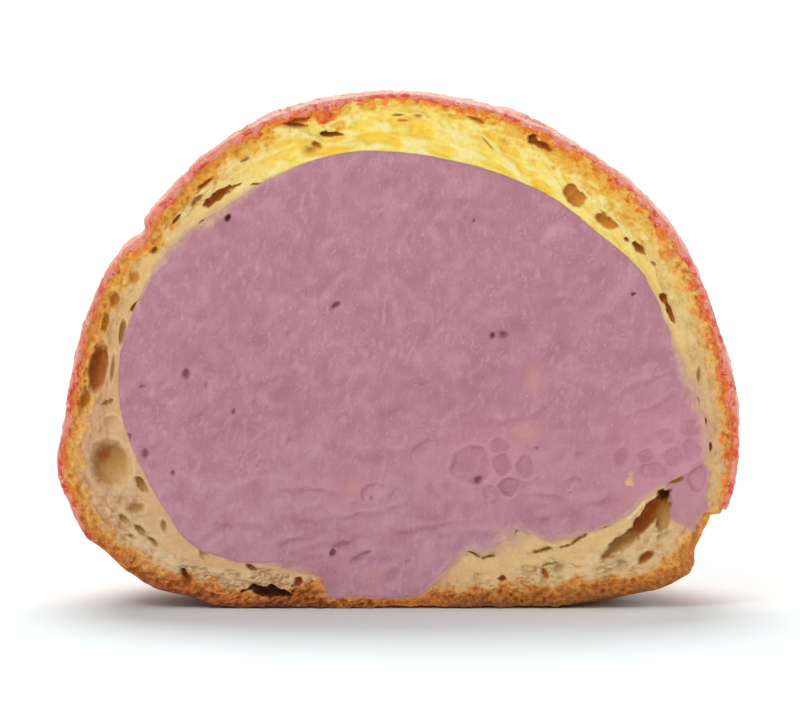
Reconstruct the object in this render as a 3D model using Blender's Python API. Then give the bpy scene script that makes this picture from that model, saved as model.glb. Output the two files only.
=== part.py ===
"""Half of a round cream puff, cut from top to base and standing on its base.

It has three pieces: the hollow choux shell, the craquelin crust baked onto its top
and sides, and the cream that fills it. The frame is in metres with +Z up. The cut
face looks along -Y, and the origin is at the middle of the bounding box's underside.

Every curved surface is a stack of sections parallel to the cut. Each section is the
outline at the cut made smaller with depth, as in an ellipsoid, so one ring of radii
round the middle of the cut face describes a whole surface. Angles round the cut face
start at +X and turn towards +Z.
"""

import math

import bmesh
import bpy
from mathutils import Matrix, Vector, noise

MM = 0.001

# The bun as a whole.
MIDDLE_HEIGHT = 22.0 * MM  # of the point that the rings of radii are measured from
AXIS_BEHIND_CUT = 6.0 * MM  # the bun is widest this far behind the cut
BACK_REACH = 37.3 * MM  # from there to the back of the bun
CUT_Y = -(AXIS_BEHIND_CUT + BACK_REACH) / 2
AXIS_Y = CUT_Y + AXIS_BEHIND_CUT
BASE_ROUNDING = 1.4 * MM  # height over which the sides turn into the flat base
GAP = 0.3 * MM  # kept between one piece and the next

# The wall, the crust and the cream.
BACK_WALL = 6.6 * MM  # thickness of the choux at the back
CRUST_THICKNESS = 1.15 * MM
CRUST_EDGE_LEFT = 7.4 * MM  # height of the crust's lower edge
CRUST_EDGE_RIGHT = 10.6 * MM
CRUST_EDGE_WAVE = 0.7 * MM
HEEL_DROP = 2.6 * MM  # the choux stays recessed this far below the crust's edge
HEEL_SPREAD = 2.2 * MM  # and swells out to full width over this height

LUMP_SIZE = 9.0 * MM
LUMP_HEIGHT = 0.45 * MM
LUMP_CLEAR = 8.0 * MM  # the lumps grow to full height over this depth from the cut

CREASE_ANGLE = 143.0  # degrees; one plate of the crust overlaps the next here
CREASE_WIDTH = 3.2  # degrees
CREASE_DEPTH = 0.8 * MM
CREASE_RUN = 16.0 * MM  # how far back from the cut the crease runs

# Mesh density.
COLUMNS = 84
OUTER_ROWS = 12
RIM_ROWS = 2
CAVITY_ROWS = 8
FACE_ROWS = 3
PORE_SUBDIVISIONS = 2

# Radius of the bun's outline at the cut, in mm, by angle. Below the middle these are
# for the full round, before the base flattens it.
OUTER_RADII = {
    0: 37.0,
    15: 36.1,
    30: 36.2,
    45: 35.8,
    60: 35.4,
    75: 35.2,
    90: 35.2,
    105: 35.5,
    120: 35.6,
    135: 35.1,
    150: 35.4,
    165: 35.9,
    180: 36.7,
    190: 38.0,
    200: 36.9,
    210: 34.9,
    225: 31.2,
    240: 29.0,
    270: 29.5,
    300: 31.5,
    315: 33.6,
    330: 36.2,
    345: 37.5,
}

# Radius of the cream's outline at the cut, in mm, by angle. It bulges through the
# choux to the crust low on the right, and reaches the base crust in the middle.
CREAM_RADII = {
    0: 31.2,
    18: 30.6,
    30: 30.3,
    42: 28.9,
    60: 28.3,
    75: 28.0,
    90: 28.3,
    105: 28.8,
    120: 28.8,
    132: 27.9,
    144: 29.4,
    156: 30.8,
    168: 31.0,
    180: 30.5,
    192: 29.0,
    204: 27.8,
    212: 27.2,
    222: 24.3,
    232: 20.6,
    242: 19.6,
    252: 20.6,
    262: 20.4,
    272: 19.9,
    282: 18.2,
    300: 16.9,
    312: 17.1,
    320: 19.2,
    330: 23.4,
    340: 26.2,
    348: 30.6,
    354: 32.3,
}

# Hollows that show in the cut wall: name, middle x and z, width, height and depth in
# mm, and the turn of the width away from level, in degrees.
WALL_PORES = (
    ("left_hollow", -33.0, 26.6, 5.0, 1.7, 3.0, 82),
    ("left_lower_hollow", -34.0, 22.4, 2.3, 1.2, 2.0, 82),
    ("left_bubble", -32.2, 16.4, 4.2, 5.0, 2.4, 0),
    ("left_heel_bubble", -29.2, 10.8, 2.2, 1.4, 1.6, 20),
    ("heel_slit", -24.0, 4.4, 2.0, 0.9, 1.6, -60),
    ("base_slit", -16.0, 2.6, 5.0, 1.1, 3.2, -5),
    ("base_pit", -11.9, 3.3, 1.1, 1.1, 1.5, 0),
    ("roof_gap_left", -11.3, 52.7, 3.2, 1.1, 2.2, 24),
    ("roof_hollow", -9.6, 50.9, 1.9, 1.4, 1.6, 20),
    ("shoulder_slit", -20.0, 45.8, 3.2, 1.2, 2.2, 42),
    ("shoulder_crack", -20.8, 47.4, 2.4, 0.7, 1.4, 40),
    ("roof_gap_right", 15.4, 50.8, 2.4, 0.9, 2.0, -26),
    ("amber_hollow", 19.1, 46.0, 2.1, 2.0, 2.4, 0),
    ("amber_slot", 22.9, 42.7, 2.6, 1.1, 2.0, -38),
    ("right_pit", 26.3, 39.9, 2.2, 0.8, 1.8, -52),
    ("right_slit", 29.7, 33.3, 3.2, 0.7, 1.8, -68),
    ("tunnel", 26.3, 9.6, 9.0, 1.9, 6.0, 43),
    ("heel_pit", 27.8, 5.4, 1.8, 1.2, 2.0, 35),
)

# Air bubbles in the cut cream, in the same terms.
CREAM_PORES = (
    ("upper_bubble", -7.1, 33.6, 1.4, 0.7, 0.9, 35),
    ("middle_bubble", 11.0, 29.9, 2.2, 1.0, 1.1, 12),
    ("left_cream_bubble", -23.6, 25.9, 1.4, 0.9, 0.9, 80),
    ("low_bubble", -5.6, 6.8, 2.2, 1.0, 1.1, 22),
    ("ring_bubble", 8.6, 15.8, 4.8, 4.6, 0.9, 0),
)

COLOURS = {
    "choux": (0.80, 0.50, 0.20, 1.0),
    "craquelin": (0.87, 0.38, 0.26, 1.0),
    "cream": (0.48, 0.22, 0.28, 1.0),
}


def clear_scene():
    """Removes every object of the start-up scene."""
    for obj in list(bpy.data.objects):
        bpy.data.objects.remove(obj)


def smooth_step(low, high, value):
    """0 below low, 1 above high and a smooth rise between them."""
    share = min(1.0, max(0.0, (value - low) / (high - low)))
    return share * share * (3 - 2 * share)


def ring_radius(radii, angle):
    """Radius in metres at an angle in degrees, on a smooth closed curve through radii."""
    stops = sorted(radii)
    angle %= 360.0
    after = next((i for i, stop in enumerate(stops) if stop > angle), len(stops))
    picked = []
    for step in (-2, -1, 0, 1):
        turns, index = divmod(after + step, len(stops))
        picked.append((stops[index] + 360.0 * turns, radii[stops[index]]))
    (a0, r0), (a1, r1), (a2, r2), (a3, r3) = picked
    span = a2 - a1
    share = (angle - a1) / span
    slope_in = (r2 - r0) / (a2 - a0) * span
    slope_out = (r3 - r1) / (a3 - a1) * span
    square, cube = share**2, share**3
    radius = (
        (2 * cube - 3 * square + 1) * r1
        + (cube - 2 * square + share) * slope_in
        + (3 * square - 2 * cube) * r2
        + (cube - square) * slope_out
    )
    return radius * MM


def surface_point(radius, reach, angle, share):
    """A point on a stack of sections.

    radius is the outline's radius at the cut, reach is from the axis to the back,
    and share runs from 0 at the back to 1 at the cut.
    """
    at_cut = -math.asin(AXIS_BEHIND_CUT / reach)
    depth_angle = math.pi / 2 + (at_cut - math.pi / 2) * share
    in_plane = radius * math.cos(depth_angle) / math.cos(at_cut)
    turn = math.radians(angle)
    return Vector(
        (
            in_plane * math.cos(turn),
            AXIS_Y + reach * math.sin(depth_angle),
            MIDDLE_HEIGHT + in_plane * math.sin(turn),
        )
    )


def moved_in(point, distance):
    """The point moved inwards. One in the cut plane stays in it."""
    target = Vector((0.0, min(point.y, AXIS_Y), MIDDLE_HEIGHT))
    return point + (target - point).normalized() * distance


def flattened(point):
    """The point after the flat base has pushed in what would hang below it."""
    z = point.z
    if z < BASE_ROUNDING:
        z = max(0.0, z + BASE_ROUNDING) ** 2 / (4 * BASE_ROUNDING)
    return Vector((point.x, point.y, z))


def crust_edge_height(point):
    """Height of the crust's lower edge on the side of the bun where the point is."""
    bearing = math.atan2(point.y - AXIS_Y, point.x)
    right = (1 + math.cos(bearing)) / 2
    wave = 0.6 * math.sin(5 * bearing) + 0.4 * math.sin(11 * bearing + 1.0)
    level = CRUST_EDGE_LEFT + (CRUST_EDGE_RIGHT - CRUST_EDGE_LEFT) * right
    return level + CRUST_EDGE_WAVE * wave


def hollow_of_lumps(point, angle):
    """How far the baked surface lies inside the plain form, from lumps and a crease."""
    from_cut = point.y - CUT_Y
    lump = noise.noise(point / LUMP_SIZE) * LUMP_HEIGHT
    lump *= smooth_step(0.0, LUMP_CLEAR, from_cut)
    offset = (angle % 360.0 - CREASE_ANGLE) / CREASE_WIDTH
    crease = CREASE_DEPTH * math.exp(-offset * offset)
    crease *= 1.0 - smooth_step(0.0, CREASE_RUN, from_cut)
    return lump + crease


def outer_point(angle, share):
    """A point on the bun's outside, before its base is flattened."""
    point = surface_point(ring_radius(OUTER_RADII, angle), BACK_REACH, angle, share)
    return moved_in(point, hollow_of_lumps(point, angle))


def choux_outer_point(angle, share):
    """A point on the choux: recessed under the crust, full below it, flat at the base."""
    point = outer_point(angle, share)
    heel_top = crust_edge_height(point) - HEEL_DROP
    covered = smooth_step(heel_top - HEEL_SPREAD, heel_top, point.z)
    return flattened(moved_in(point, (CRUST_THICKNESS + GAP) * covered))


def cavity_point(angle, share, clearance=0.0):
    """A point on the wall of the cavity, or inside it by the clearance."""
    radius = ring_radius(CREAM_RADII, angle) - clearance
    reach = BACK_REACH - BACK_WALL - clearance
    return surface_point(radius, reach, angle, share)


def shell_point(angle, row):
    """A point of the choux shell: down its outside, across the rim, into the cavity."""
    if row <= OUTER_ROWS:
        return choux_outer_point(angle, row / OUTER_ROWS)
    row -= OUTER_ROWS
    if row < RIM_ROWS:
        outside, inside = choux_outer_point(angle, 1.0), cavity_point(angle, 1.0)
        return outside.lerp(inside, row / RIM_ROWS)
    return cavity_point(angle, 1.0 - (row - RIM_ROWS) / CAVITY_ROWS)


def cream_point(angle, row):
    """A point of the cream: along its hidden side, then in across the cut face."""
    if row <= CAVITY_ROWS:
        return cavity_point(angle, row / CAVITY_ROWS, GAP)
    middle = Vector((0.0, CUT_Y, MIDDLE_HEIGHT))
    return cavity_point(angle, 1.0, GAP).lerp(middle, (row - CAVITY_ROWS) / FACE_ROWS)


def ringed_mesh(rows, place):
    """A closed mesh of rings between two poles, each vertex put where place says."""
    bm = bmesh.new()
    bmesh.ops.create_uvsphere(bm, u_segments=COLUMNS, v_segments=rows, radius=1.0)
    for vert in bm.verts:
        angle = math.degrees(math.atan2(vert.co.y, vert.co.x))
        row = round(math.acos(max(-1.0, min(1.0, vert.co.z))) / math.pi * rows)
        vert.co = place(angle, row)
    bmesh.ops.recalc_face_normals(bm, faces=bm.faces)
    return bm


def make_object(name, bm, material):
    """An object of that name from the bmesh, shaded smooth except at its edges."""
    mesh = bpy.data.meshes.new(name)
    bm.to_mesh(mesh)
    bm.free()
    mesh.shade_smooth()
    mesh.set_sharp_from_angle(angle=math.radians(35))
    mesh.materials.append(material)
    obj = bpy.data.objects.new(name, mesh)
    bpy.context.scene.collection.objects.link(obj)
    return obj


def make_material(name, roughness):
    """A plain food material of the named colour."""
    material = bpy.data.materials.new(name)
    material.use_nodes = True
    shader = material.node_tree.nodes["Principled BSDF"]
    shader.inputs["Base Color"].default_value = COLOURS[name]
    shader.inputs["Roughness"].default_value = roughness
    shader.inputs["Metallic"].default_value = 0.0
    material.diffuse_color = COLOURS[name]
    return material


def cut_pores(obj, pores):
    """Scoops an ellipsoid out of the cut face for each pore."""
    for name, x, z, width, height, depth, turn in pores:
        bm = bmesh.new()
        bmesh.ops.create_icosphere(bm, subdivisions=PORE_SUBDIVISIONS, radius=1.0)
        place = Matrix.Translation((x * MM, CUT_Y, z * MM))
        tilt = Matrix.Rotation(-math.radians(turn), 4, "Y")
        size = Matrix.Diagonal((width * MM / 2, depth * MM, height * MM / 2, 1.0))
        bmesh.ops.transform(bm, matrix=place @ tilt @ size, verts=bm.verts)
        cutter = make_object(name + "_cutter", bm, obj.data.materials[0])
        cutter.hide_render = True
        cutter.display_type = "WIRE"
        boolean = obj.modifiers.new(name, "BOOLEAN")
        boolean.operation = "DIFFERENCE"
        boolean.solver = "EXACT"
        boolean.object = cutter


def make_choux_shell():
    """The hollow bun, with the holes that show in its cut wall."""
    bm = ringed_mesh(OUTER_ROWS + RIM_ROWS + CAVITY_ROWS, shell_point)
    shell = make_object("choux_shell", bm, make_material("choux", 0.75))
    cut_pores(shell, WALL_PORES)


def make_craquelin_crust():
    """The crust: the bun's outside above a wavy edge, thickened inwards."""
    columns, rows = COLUMNS, 2 * OUTER_ROWS
    bm = bmesh.new()
    bmesh.ops.create_uvsphere(bm, u_segments=columns, v_segments=rows, radius=1.0)
    front = [vert for vert in bm.verts if vert.co.z < -0.5 / rows]
    bmesh.ops.delete(bm, geom=front, context="VERTS")
    for vert in bm.verts:
        angle = math.degrees(math.atan2(vert.co.y, vert.co.x))
        row = round(math.acos(min(1.0, vert.co.z)) / math.pi * rows)
        vert.co = outer_point(angle, row / OUTER_ROWS)

    # The wave is taken out of the edge, a level plane trims it, and it is put back.
    for vert in bm.verts:
        vert.co.z -= crust_edge_height(vert.co)
    bmesh.ops.bisect_plane(
        bm,
        geom=bm.verts[:] + bm.edges[:] + bm.faces[:],
        dist=GAP / 2,
        plane_co=(0, 0, 0),
        plane_no=(0, 0, 1),
        clear_inner=True,
    )
    for vert in bm.verts:
        vert.co.z += crust_edge_height(vert.co)

    walls = bmesh.ops.extrude_face_region(bm, geom=bm.faces[:], use_keep_orig=True)
    for element in walls["geom"]:
        if isinstance(element, bmesh.types.BMVert):
            element.co = moved_in(element.co, CRUST_THICKNESS)
    bmesh.ops.recalc_face_normals(bm, faces=bm.faces)
    make_object("craquelin_crust", bm, make_material("craquelin", 0.85))


def make_cream_filling():
    """The cream, with the air bubbles that show in its cut face."""
    bm = ringed_mesh(CAVITY_ROWS + FACE_ROWS, cream_point)
    cream = make_object("cream_filling", bm, make_material("cream", 0.45))
    cut_pores(cream, CREAM_PORES)


clear_scene()
make_choux_shell()
make_craquelin_crust()
make_cream_filling()
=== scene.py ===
"""Looks of half a cream puff: baked choux shell, craquelin crust and cut cream.

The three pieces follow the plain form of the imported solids. Lengths in this file are in
millimetres, unless a name or a docstring says metres, and turn into metres as vertices
are placed. Angles are in degrees round the middle of the cut face: 0 is +X, 90 is up.
"""

import logging
import math
from collections.abc import Callable
from dataclasses import dataclass, field
from enum import Enum
from typing import Any

import bmesh
import bpy
from mathutils import Matrix, Vector, noise

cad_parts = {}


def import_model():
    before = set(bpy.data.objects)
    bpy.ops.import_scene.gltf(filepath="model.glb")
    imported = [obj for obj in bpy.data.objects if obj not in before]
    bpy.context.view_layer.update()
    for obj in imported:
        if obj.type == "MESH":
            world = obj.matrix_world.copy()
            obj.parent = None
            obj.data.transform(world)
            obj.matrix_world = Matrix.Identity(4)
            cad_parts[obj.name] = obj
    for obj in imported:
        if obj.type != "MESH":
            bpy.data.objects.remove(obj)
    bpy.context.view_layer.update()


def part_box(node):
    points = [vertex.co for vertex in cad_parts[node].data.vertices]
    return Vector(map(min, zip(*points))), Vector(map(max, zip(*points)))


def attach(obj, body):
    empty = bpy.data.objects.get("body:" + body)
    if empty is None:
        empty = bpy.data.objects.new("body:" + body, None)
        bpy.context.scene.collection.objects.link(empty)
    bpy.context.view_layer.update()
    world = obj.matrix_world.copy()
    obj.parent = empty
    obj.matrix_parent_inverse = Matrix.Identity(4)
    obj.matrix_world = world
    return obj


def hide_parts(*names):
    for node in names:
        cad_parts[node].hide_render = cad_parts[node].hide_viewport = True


LOG = logging.getLogger("cream_puff")
MM = 0.001


# --------------------------------------------------------------------------- numbers


def smooth_step(low: float, high: float, value: float) -> float:
    """Eases from 0 to 1.

    Args:
        low: Value at which the rise starts.
        high: Value at which it ends. It may lie below low, for a fall.
        value: The value to place.

    Returns:
        0 on low's side, 1 on high's side, and a smooth rise between.
    """
    share = min(1.0, max(0.0, (value - low) / (high - low)))
    return share * share * (3 - 2 * share)


def blend(start: float, end: float, share: float) -> float:
    """The value at that share of the way from start to end."""
    return start + (end - start) * share


def linear(red: int, green: int, blue: int) -> tuple[float, float, float, float]:
    """Turns a display colour, 0 to 255 a channel, into the light that shaders use."""
    shares = (red / 255, green / 255, blue / 255)
    light = [s / 12.92 if s <= 0.04045 else ((s + 0.055) / 1.055) ** 2.4 for s in shares]
    return (light[0], light[1], light[2], 1.0)


class Ring:
    """A value that changes round the cut face, as a smooth closed curve over angles."""

    STEP = 0.5

    def __init__(self, stops: dict[float, float]) -> None:
        """Lays the curve through its stops.

        Args:
            stops: The value at each of some angles, in degrees.
        """
        self.stops = sorted(stops.items())
        self.steps = round(360 / self.STEP)
        self.values = [self._curve(i * self.STEP) for i in range(self.steps)]

    def _stop(self, index: int) -> tuple[float, float]:
        """The stop at that index, counted on round the ring."""
        turns, place = divmod(index, len(self.stops))
        angle, value = self.stops[place]
        return angle + 360.0 * turns, value

    def _curve(self, angle: float) -> float:
        """The curve's value at an angle from 0 up to 360."""
        after = next(
            (i for i, (stop, _) in enumerate(self.stops) if stop > angle),
            len(self.stops),
        )
        (a0, v0), (a1, v1), (a2, v2), (a3, v3) = (
            self._stop(after + step) for step in (-2, -1, 0, 1)
        )
        span = a2 - a1
        share = (angle - a1) / span
        slope_in = (v2 - v0) / (a2 - a0) * span
        slope_out = (v3 - v1) / (a3 - a1) * span
        square, cube = share**2, share**3
        return (
            (2 * cube - 3 * square + 1) * v1
            + (cube - 2 * square + share) * slope_in
            + (3 * square - 2 * cube) * v2
            + (cube - square) * slope_out
        )

    def at(self, angle: float) -> float:
        """The value at any angle."""
        place = (angle % 360.0) / self.STEP
        index = int(place)
        start = self.values[index % self.steps]
        return blend(start, self.values[(index + 1) % self.steps], place - index)


def grain(x: float, z: float, size: float, seed: float = 0.0) -> float:
    """Smooth noise on the cut face.

    Args:
        x: Place across the face.
        z: Place up the face.
        size: Width of its lumps.
        seed: Picks another pattern.

    Returns:
        About -0.7 to 0.7.
    """
    return noise.noise(Vector((x / size, seed * 7.31, z / size)))


def streak(x: float, z: float, turn: float, length: float, width: float, seed: float) -> float:
    """Smooth noise on the cut face, drawn out along one direction.

    Args:
        x: Place across the face.
        z: Place up the face.
        turn: Direction of the streaks, in degrees from level.
        length: Length of a streak.
        width: Width of a streak.
        seed: Picks another pattern.

    Returns:
        About -0.7 to 0.7.
    """
    cosine, sine = math.cos(math.radians(turn)), math.sin(math.radians(turn))
    along = x * cosine + z * sine
    across = z * cosine - x * sine
    return noise.noise(Vector((along / length, seed * 5.17, across / width)))


def cells(x: float, z: float, size: float, seed: float = 0.0) -> tuple[float, float]:
    """Distances to the nearest two bubble middles of a foam, as shares of its size."""
    distances, _ = noise.voronoi(Vector((x / size, seed * 3.7, z / size)))
    return distances[0], distances[1]


# ------------------------------------------------------------------------- the form


OUTER_RADII = Ring(
    {
        0: 37.2, 15: 36.2, 30: 36.0, 45: 35.5, 60: 34.9, 75: 34.7, 90: 34.9, 105: 35.1,
        120: 35.3, 130: 35.2, 138: 34.9, 142: 34.9, 146: 34.7, 150: 35.2, 155: 35.7, 165: 35.9,
        180: 36.8, 190: 38.3, 196: 37.9, 202: 37.5, 206: 36.1, 210: 35.2, 225: 31.5, 240: 29.3,
        270: 29.5, 300: 31.8, 315: 33.9, 330: 36.5, 345: 37.8,
    }
)  # fmt: skip

CREAM_RADII = Ring(
    {
        0: 32.6, 6: 31.6, 12: 30.9, 18: 30.6, 30: 30.4, 36: 29.7, 42: 29.0, 54: 28.6, 66: 28.1,
        78: 27.9, 84: 28.0, 92: 28.3, 102: 28.8, 120: 29.0, 126: 29.0, 132: 29.3, 138: 29.9,
        144: 30.5, 156: 30.9, 168: 31.1, 180: 30.5, 192: 29.0, 204: 27.8, 210: 27.5, 215: 26.7,
        219: 25.5, 223: 24.4, 227: 23.0, 231: 21.8, 235: 21.0, 239: 20.5, 243: 20.1, 246: 20.4,
        249: 21.7, 254: 21.4, 260: 20.9, 266: 20.6, 272: 20.5, 276: 20.2, 280: 19.3, 285: 18.5,
        290: 17.6, 295: 17.0, 299: 17.8, 304: 18.3, 311: 18.3, 315: 18.8, 319: 21.4, 322: 22.6,
        326: 24.2, 330: 25.7, 335: 27.1, 340: 28.4, 344: 29.8, 347: 31.6, 350: 33.3, 354: 34.0,
        357: 33.5,
    }
)  # fmt: skip

# Thickness of the craquelin where the cut crosses it.
CRUST_THICKNESS = Ring(
    {0: 1.0, 30: 1.0, 60: 0.9, 90: 0.8, 98: 1.0, 104: 1.4, 109: 0.8, 118: 1.1, 136: 1.4, 150: 1.1,
     170: 0.9, 200: 0.9, 300: 1.0}  # fmt: skip
)

# How far the bare heel stands back from the round form, below the crust's edge.
HEEL_RECESS = Ring(
    {0: 1.6, 180: 0.5, 200: 0.4, 208: 0.1, 218: 0.4, 222: 1.1, 226: 1.0, 231: 0.8, 240: 0.4, 260: 0.0,
     280: 1.5, 300: 4.6, 309: 4.3, 316: 3.5, 322: 2.1, 326: 0.8, 331: 0.1, 335: 1.2, 341: 1.6}  # fmt: skip
)

# How ragged the cream's edge is: torn only where it runs among flakes of crumb.
CREAM_TEAR = Ring(
    {0: 0.25, 20: 0.1, 40: 0.04, 120: 0.05, 140: 0.15, 160: 0.06, 225: 0.06, 238: 0.15, 250: 0.1,
     280: 0.1, 300: 0.3, 330: 0.25, 345: 0.15}  # fmt: skip
)

# How far cream and crumb blend into each other at the cream's edge.
CREAM_BLUR = Ring(
    {0: 1.8, 8: 1.6, 16: 0.6, 25: 0.3, 60: 0.15, 110: 0.2, 122: 0.8, 132: 2.0, 145: 1.4, 156: 0.5,
     180: 0.2, 205: 0.2, 225: 0.4, 238: 1.2, 246: 1.4, 252: 0.4, 272: 0.4, 282: 1.0, 294: 1.4,
     300: 2.2, 312: 2.8, 322: 1.4, 340: 0.8, 350: 1.4}  # fmt: skip
)


@dataclass(frozen=True)
class BunForm:
    """The plain form that every piece follows, as a stack of sections like the cut."""

    cut_y: float  # metres, the plane of the cut
    middle_height: float = 22.0
    axis_behind_cut: float = 4.0
    back_reach: float = 39.3
    base_rounding: float = 1.4
    back_wall: float = 6.6
    edge_left: float = 8.9
    edge_right: float = 11.2
    edge_wave: float = 0.7
    heel_drop: float = 0.5
    heel_spread: float = 0.6
    heel_recess_behind: float = 1.4  # how far the heel stands back away from the cut
    heel_run: float = 14.0  # how far behind the cut that takes
    crust_lap: float = 0.25  # at the cut, the choux runs on this far under the crust
    lump_size: float = 9.0
    lump_height: float = 0.45
    lump_clear: float = 8.0
    crease_angle: float = 144.6
    crease_width: float = 2.6
    crease_depth: float = 0.6
    crease_run: float = 16.0
    cream_smear: float = 0.25
    base_wear: float = 0.4  # how far the base's front edge is frayed upwards

    @property
    def axis_y(self) -> float:
        """The y of the bun's upright axis, in metres."""
        return self.cut_y + self.axis_behind_cut * MM

    def section_point(self, radius: float, reach: float, angle: float, share: float) -> Vector:
        """A point on a stack of sections.

        Args:
            radius: The outline's radius at the cut.
            reach: Distance from the axis to the back.
            angle: Angle round the cut face.
            share: 0 at the back, 1 at the cut.

        Returns:
            The point, in metres.
        """
        at_cut = -math.asin(self.axis_behind_cut / reach)
        depth_angle = math.pi / 2 + (at_cut - math.pi / 2) * share
        in_plane = radius * MM * math.cos(depth_angle) / math.cos(at_cut)
        turn = math.radians(angle)
        return Vector(
            (
                in_plane * math.cos(turn),
                self.axis_y + reach * MM * math.sin(depth_angle),
                self.middle_height * MM + in_plane * math.sin(turn),
            )
        )

    def moved_in(self, point: Vector, distance: float) -> Vector:
        """The point moved inwards. One in the cut plane stays in it."""
        target = Vector((0.0, min(point.y, self.axis_y), self.middle_height * MM))
        return point + (target - point).normalized() * (distance * MM)

    def flattened(self, point: Vector) -> Vector:
        """The point after the flat base has pushed in what would hang below it."""
        z, rounding = point.z, self.base_rounding * MM
        if z < rounding:
            z = max(0.0, z + rounding) ** 2 / (4 * rounding)
        return Vector((point.x, point.y, z))

    def edge_height(self, point: Vector) -> float:
        """Height in metres of the crust's lower edge on that side of the bun."""
        bearing = math.atan2(point.y - self.axis_y, point.x)
        right = (1 + math.cos(bearing)) / 2
        wave = 0.6 * math.sin(5 * bearing) + 0.4 * math.sin(11 * bearing + 1.0)
        level = blend(self.edge_left, self.edge_right, right)
        return (level + self.edge_wave * wave) * MM

    def outer_point(self, angle: float, share: float) -> Vector:
        """A point on the bun's outside, before its base is flattened, in metres."""
        point = self.section_point(OUTER_RADII.at(angle), self.back_reach, angle, share)
        from_cut = (point.y - self.cut_y) / MM
        lump = noise.noise(point / (self.lump_size * MM)) * self.lump_height
        lump *= smooth_step(0.0, self.lump_clear, from_cut)
        offset = (angle % 360.0 - self.crease_angle) / self.crease_width
        crease = self.crease_depth * smooth_step(-0.35, 0.1, offset) * math.exp(-(max(0.0, offset) ** 2))
        crease *= 1.0 - smooth_step(0.0, self.crease_run, from_cut)
        return self.moved_in(point, lump + crease)

    def covered(self, point: Vector) -> float:
        """1 where the crust covers the choux and 0 well below its edge."""
        top = self.edge_height(point) - self.heel_drop * MM
        return smooth_step(top - self.heel_spread * MM, top, point.z)

    def choux_point(self, angle: float, share: float) -> Vector:
        """A point on the choux's outside: under the crust, or bare at the heel."""
        point = self.outer_point(angle, share)
        from_cut = (point.y - self.cut_y) / MM
        recess = blend(
            HEEL_RECESS.at(angle), self.heel_recess_behind, smooth_step(0.0, self.heel_run, from_cut)
        )
        under = max(0.42, CRUST_THICKNESS.at(angle) - 0.2 - self.crust_lap * smooth_step(1.0, 0.0, from_cut))
        point = self.flattened(self.moved_in(point, blend(recess, under, self.covered(point))))
        low = smooth_step(2.5, 0.0, point.z / MM) * smooth_step(1.5, 0.0, (point.y - self.cut_y) / MM)
        wear = 0.5 + 0.6 * grain(point.x / MM, 0.0, 2.6, 40.0) + 0.5 * grain(point.x / MM, 0.0, 0.7, 41.0)
        point.z += self.base_wear * low * max(0.0, wear) * MM
        return point

    def cream_radius(self, angle: float) -> float:
        """Radius of the cream's outline at the cut, smeared a little over the crumb."""
        radius = CREAM_RADII.at(angle) + self.cream_smear
        turn = math.radians(angle)
        x, z = radius * math.cos(turn), radius * math.sin(turn)
        tear = grain(x, z, 1.6, 1.0) + 0.6 * grain(x, z, 0.6, 2.0)
        return radius + CREAM_TEAR.at(angle) * tear * 1.6

    def cavity_point(self, angle: float, share: float, clearance: float) -> Vector:
        """A point on the cavity's wall, or inside it by the clearance."""
        radius = self.cream_radius(angle) - clearance
        return self.section_point(radius, self.back_reach - self.back_wall - clearance, angle, share)


# --------------------------------------------------------------------------- hollows


class Tone(Enum):
    """Colour of a hollow's inside, as its place on the shell's ramp of hollow colours. The colours are
    partly the crumb's own and partly painted shade; the darkest is painted shade of deep hollows.
    """

    AMBER = 0.0
    PALE = 0.25
    OLIVE = 0.5
    BROWN = 0.75
    DARK = 1.0


@dataclass(frozen=True)
class Oval:
    """An oval spot of the cut face: a bubble that the knife opened, a dent or a flake."""

    x: float
    z: float
    width: float
    height: float
    depth: float
    turn: float = 0.0  # of its width, from level
    tone: Tone = Tone.OLIVE
    edge: float = 0.7  # share of the way out at which its side starts: low is a soft bowl
    ragged: float = 1.0
    slope: float = 0.25  # how strongly painted light brightens its inside towards the lower right, and painted shade darkens it towards the upper left

    def spread(self, x: float, z: float, wobble: float) -> tuple[float, float]:
        """Where a place lies in the oval.

        Args:
            x: Place across the face.
            z: Place up the face.
            wobble: Moves the rim in and out, as a share of the oval's size.

        Returns:
            How far out it lies, 0 in the middle and 1 on the plain oval, and how far
            towards the lower right, from -1 to 1.
        """
        cosine, sine = math.cos(math.radians(self.turn)), math.sin(math.radians(self.turn))
        half_width, half_height = self.width / 2, self.height / 2
        along = ((x - self.x) * cosine + (z - self.z) * sine) / half_width
        aside = ((z - self.z) * cosine - (x - self.x) * sine) / half_height
        down_along = (0.5 * cosine - 0.87 * sine) / half_width
        down_aside = (-0.87 * cosine - 0.5 * sine) / half_height
        fall = (along * down_along + aside * down_aside) / math.hypot(down_along, down_aside)
        return math.hypot(along, aside) * (1 + wobble), fall


@dataclass(frozen=True)
class Dip:
    """What the ovals do at one place of the face."""

    depth: float = 0.0
    openness: float = 0.0
    tone: float = 0.0
    lip: float = 0.0
    glow: float = 0.0  # painted light: above nought where its inside faces the light, below nought painted shade


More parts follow.
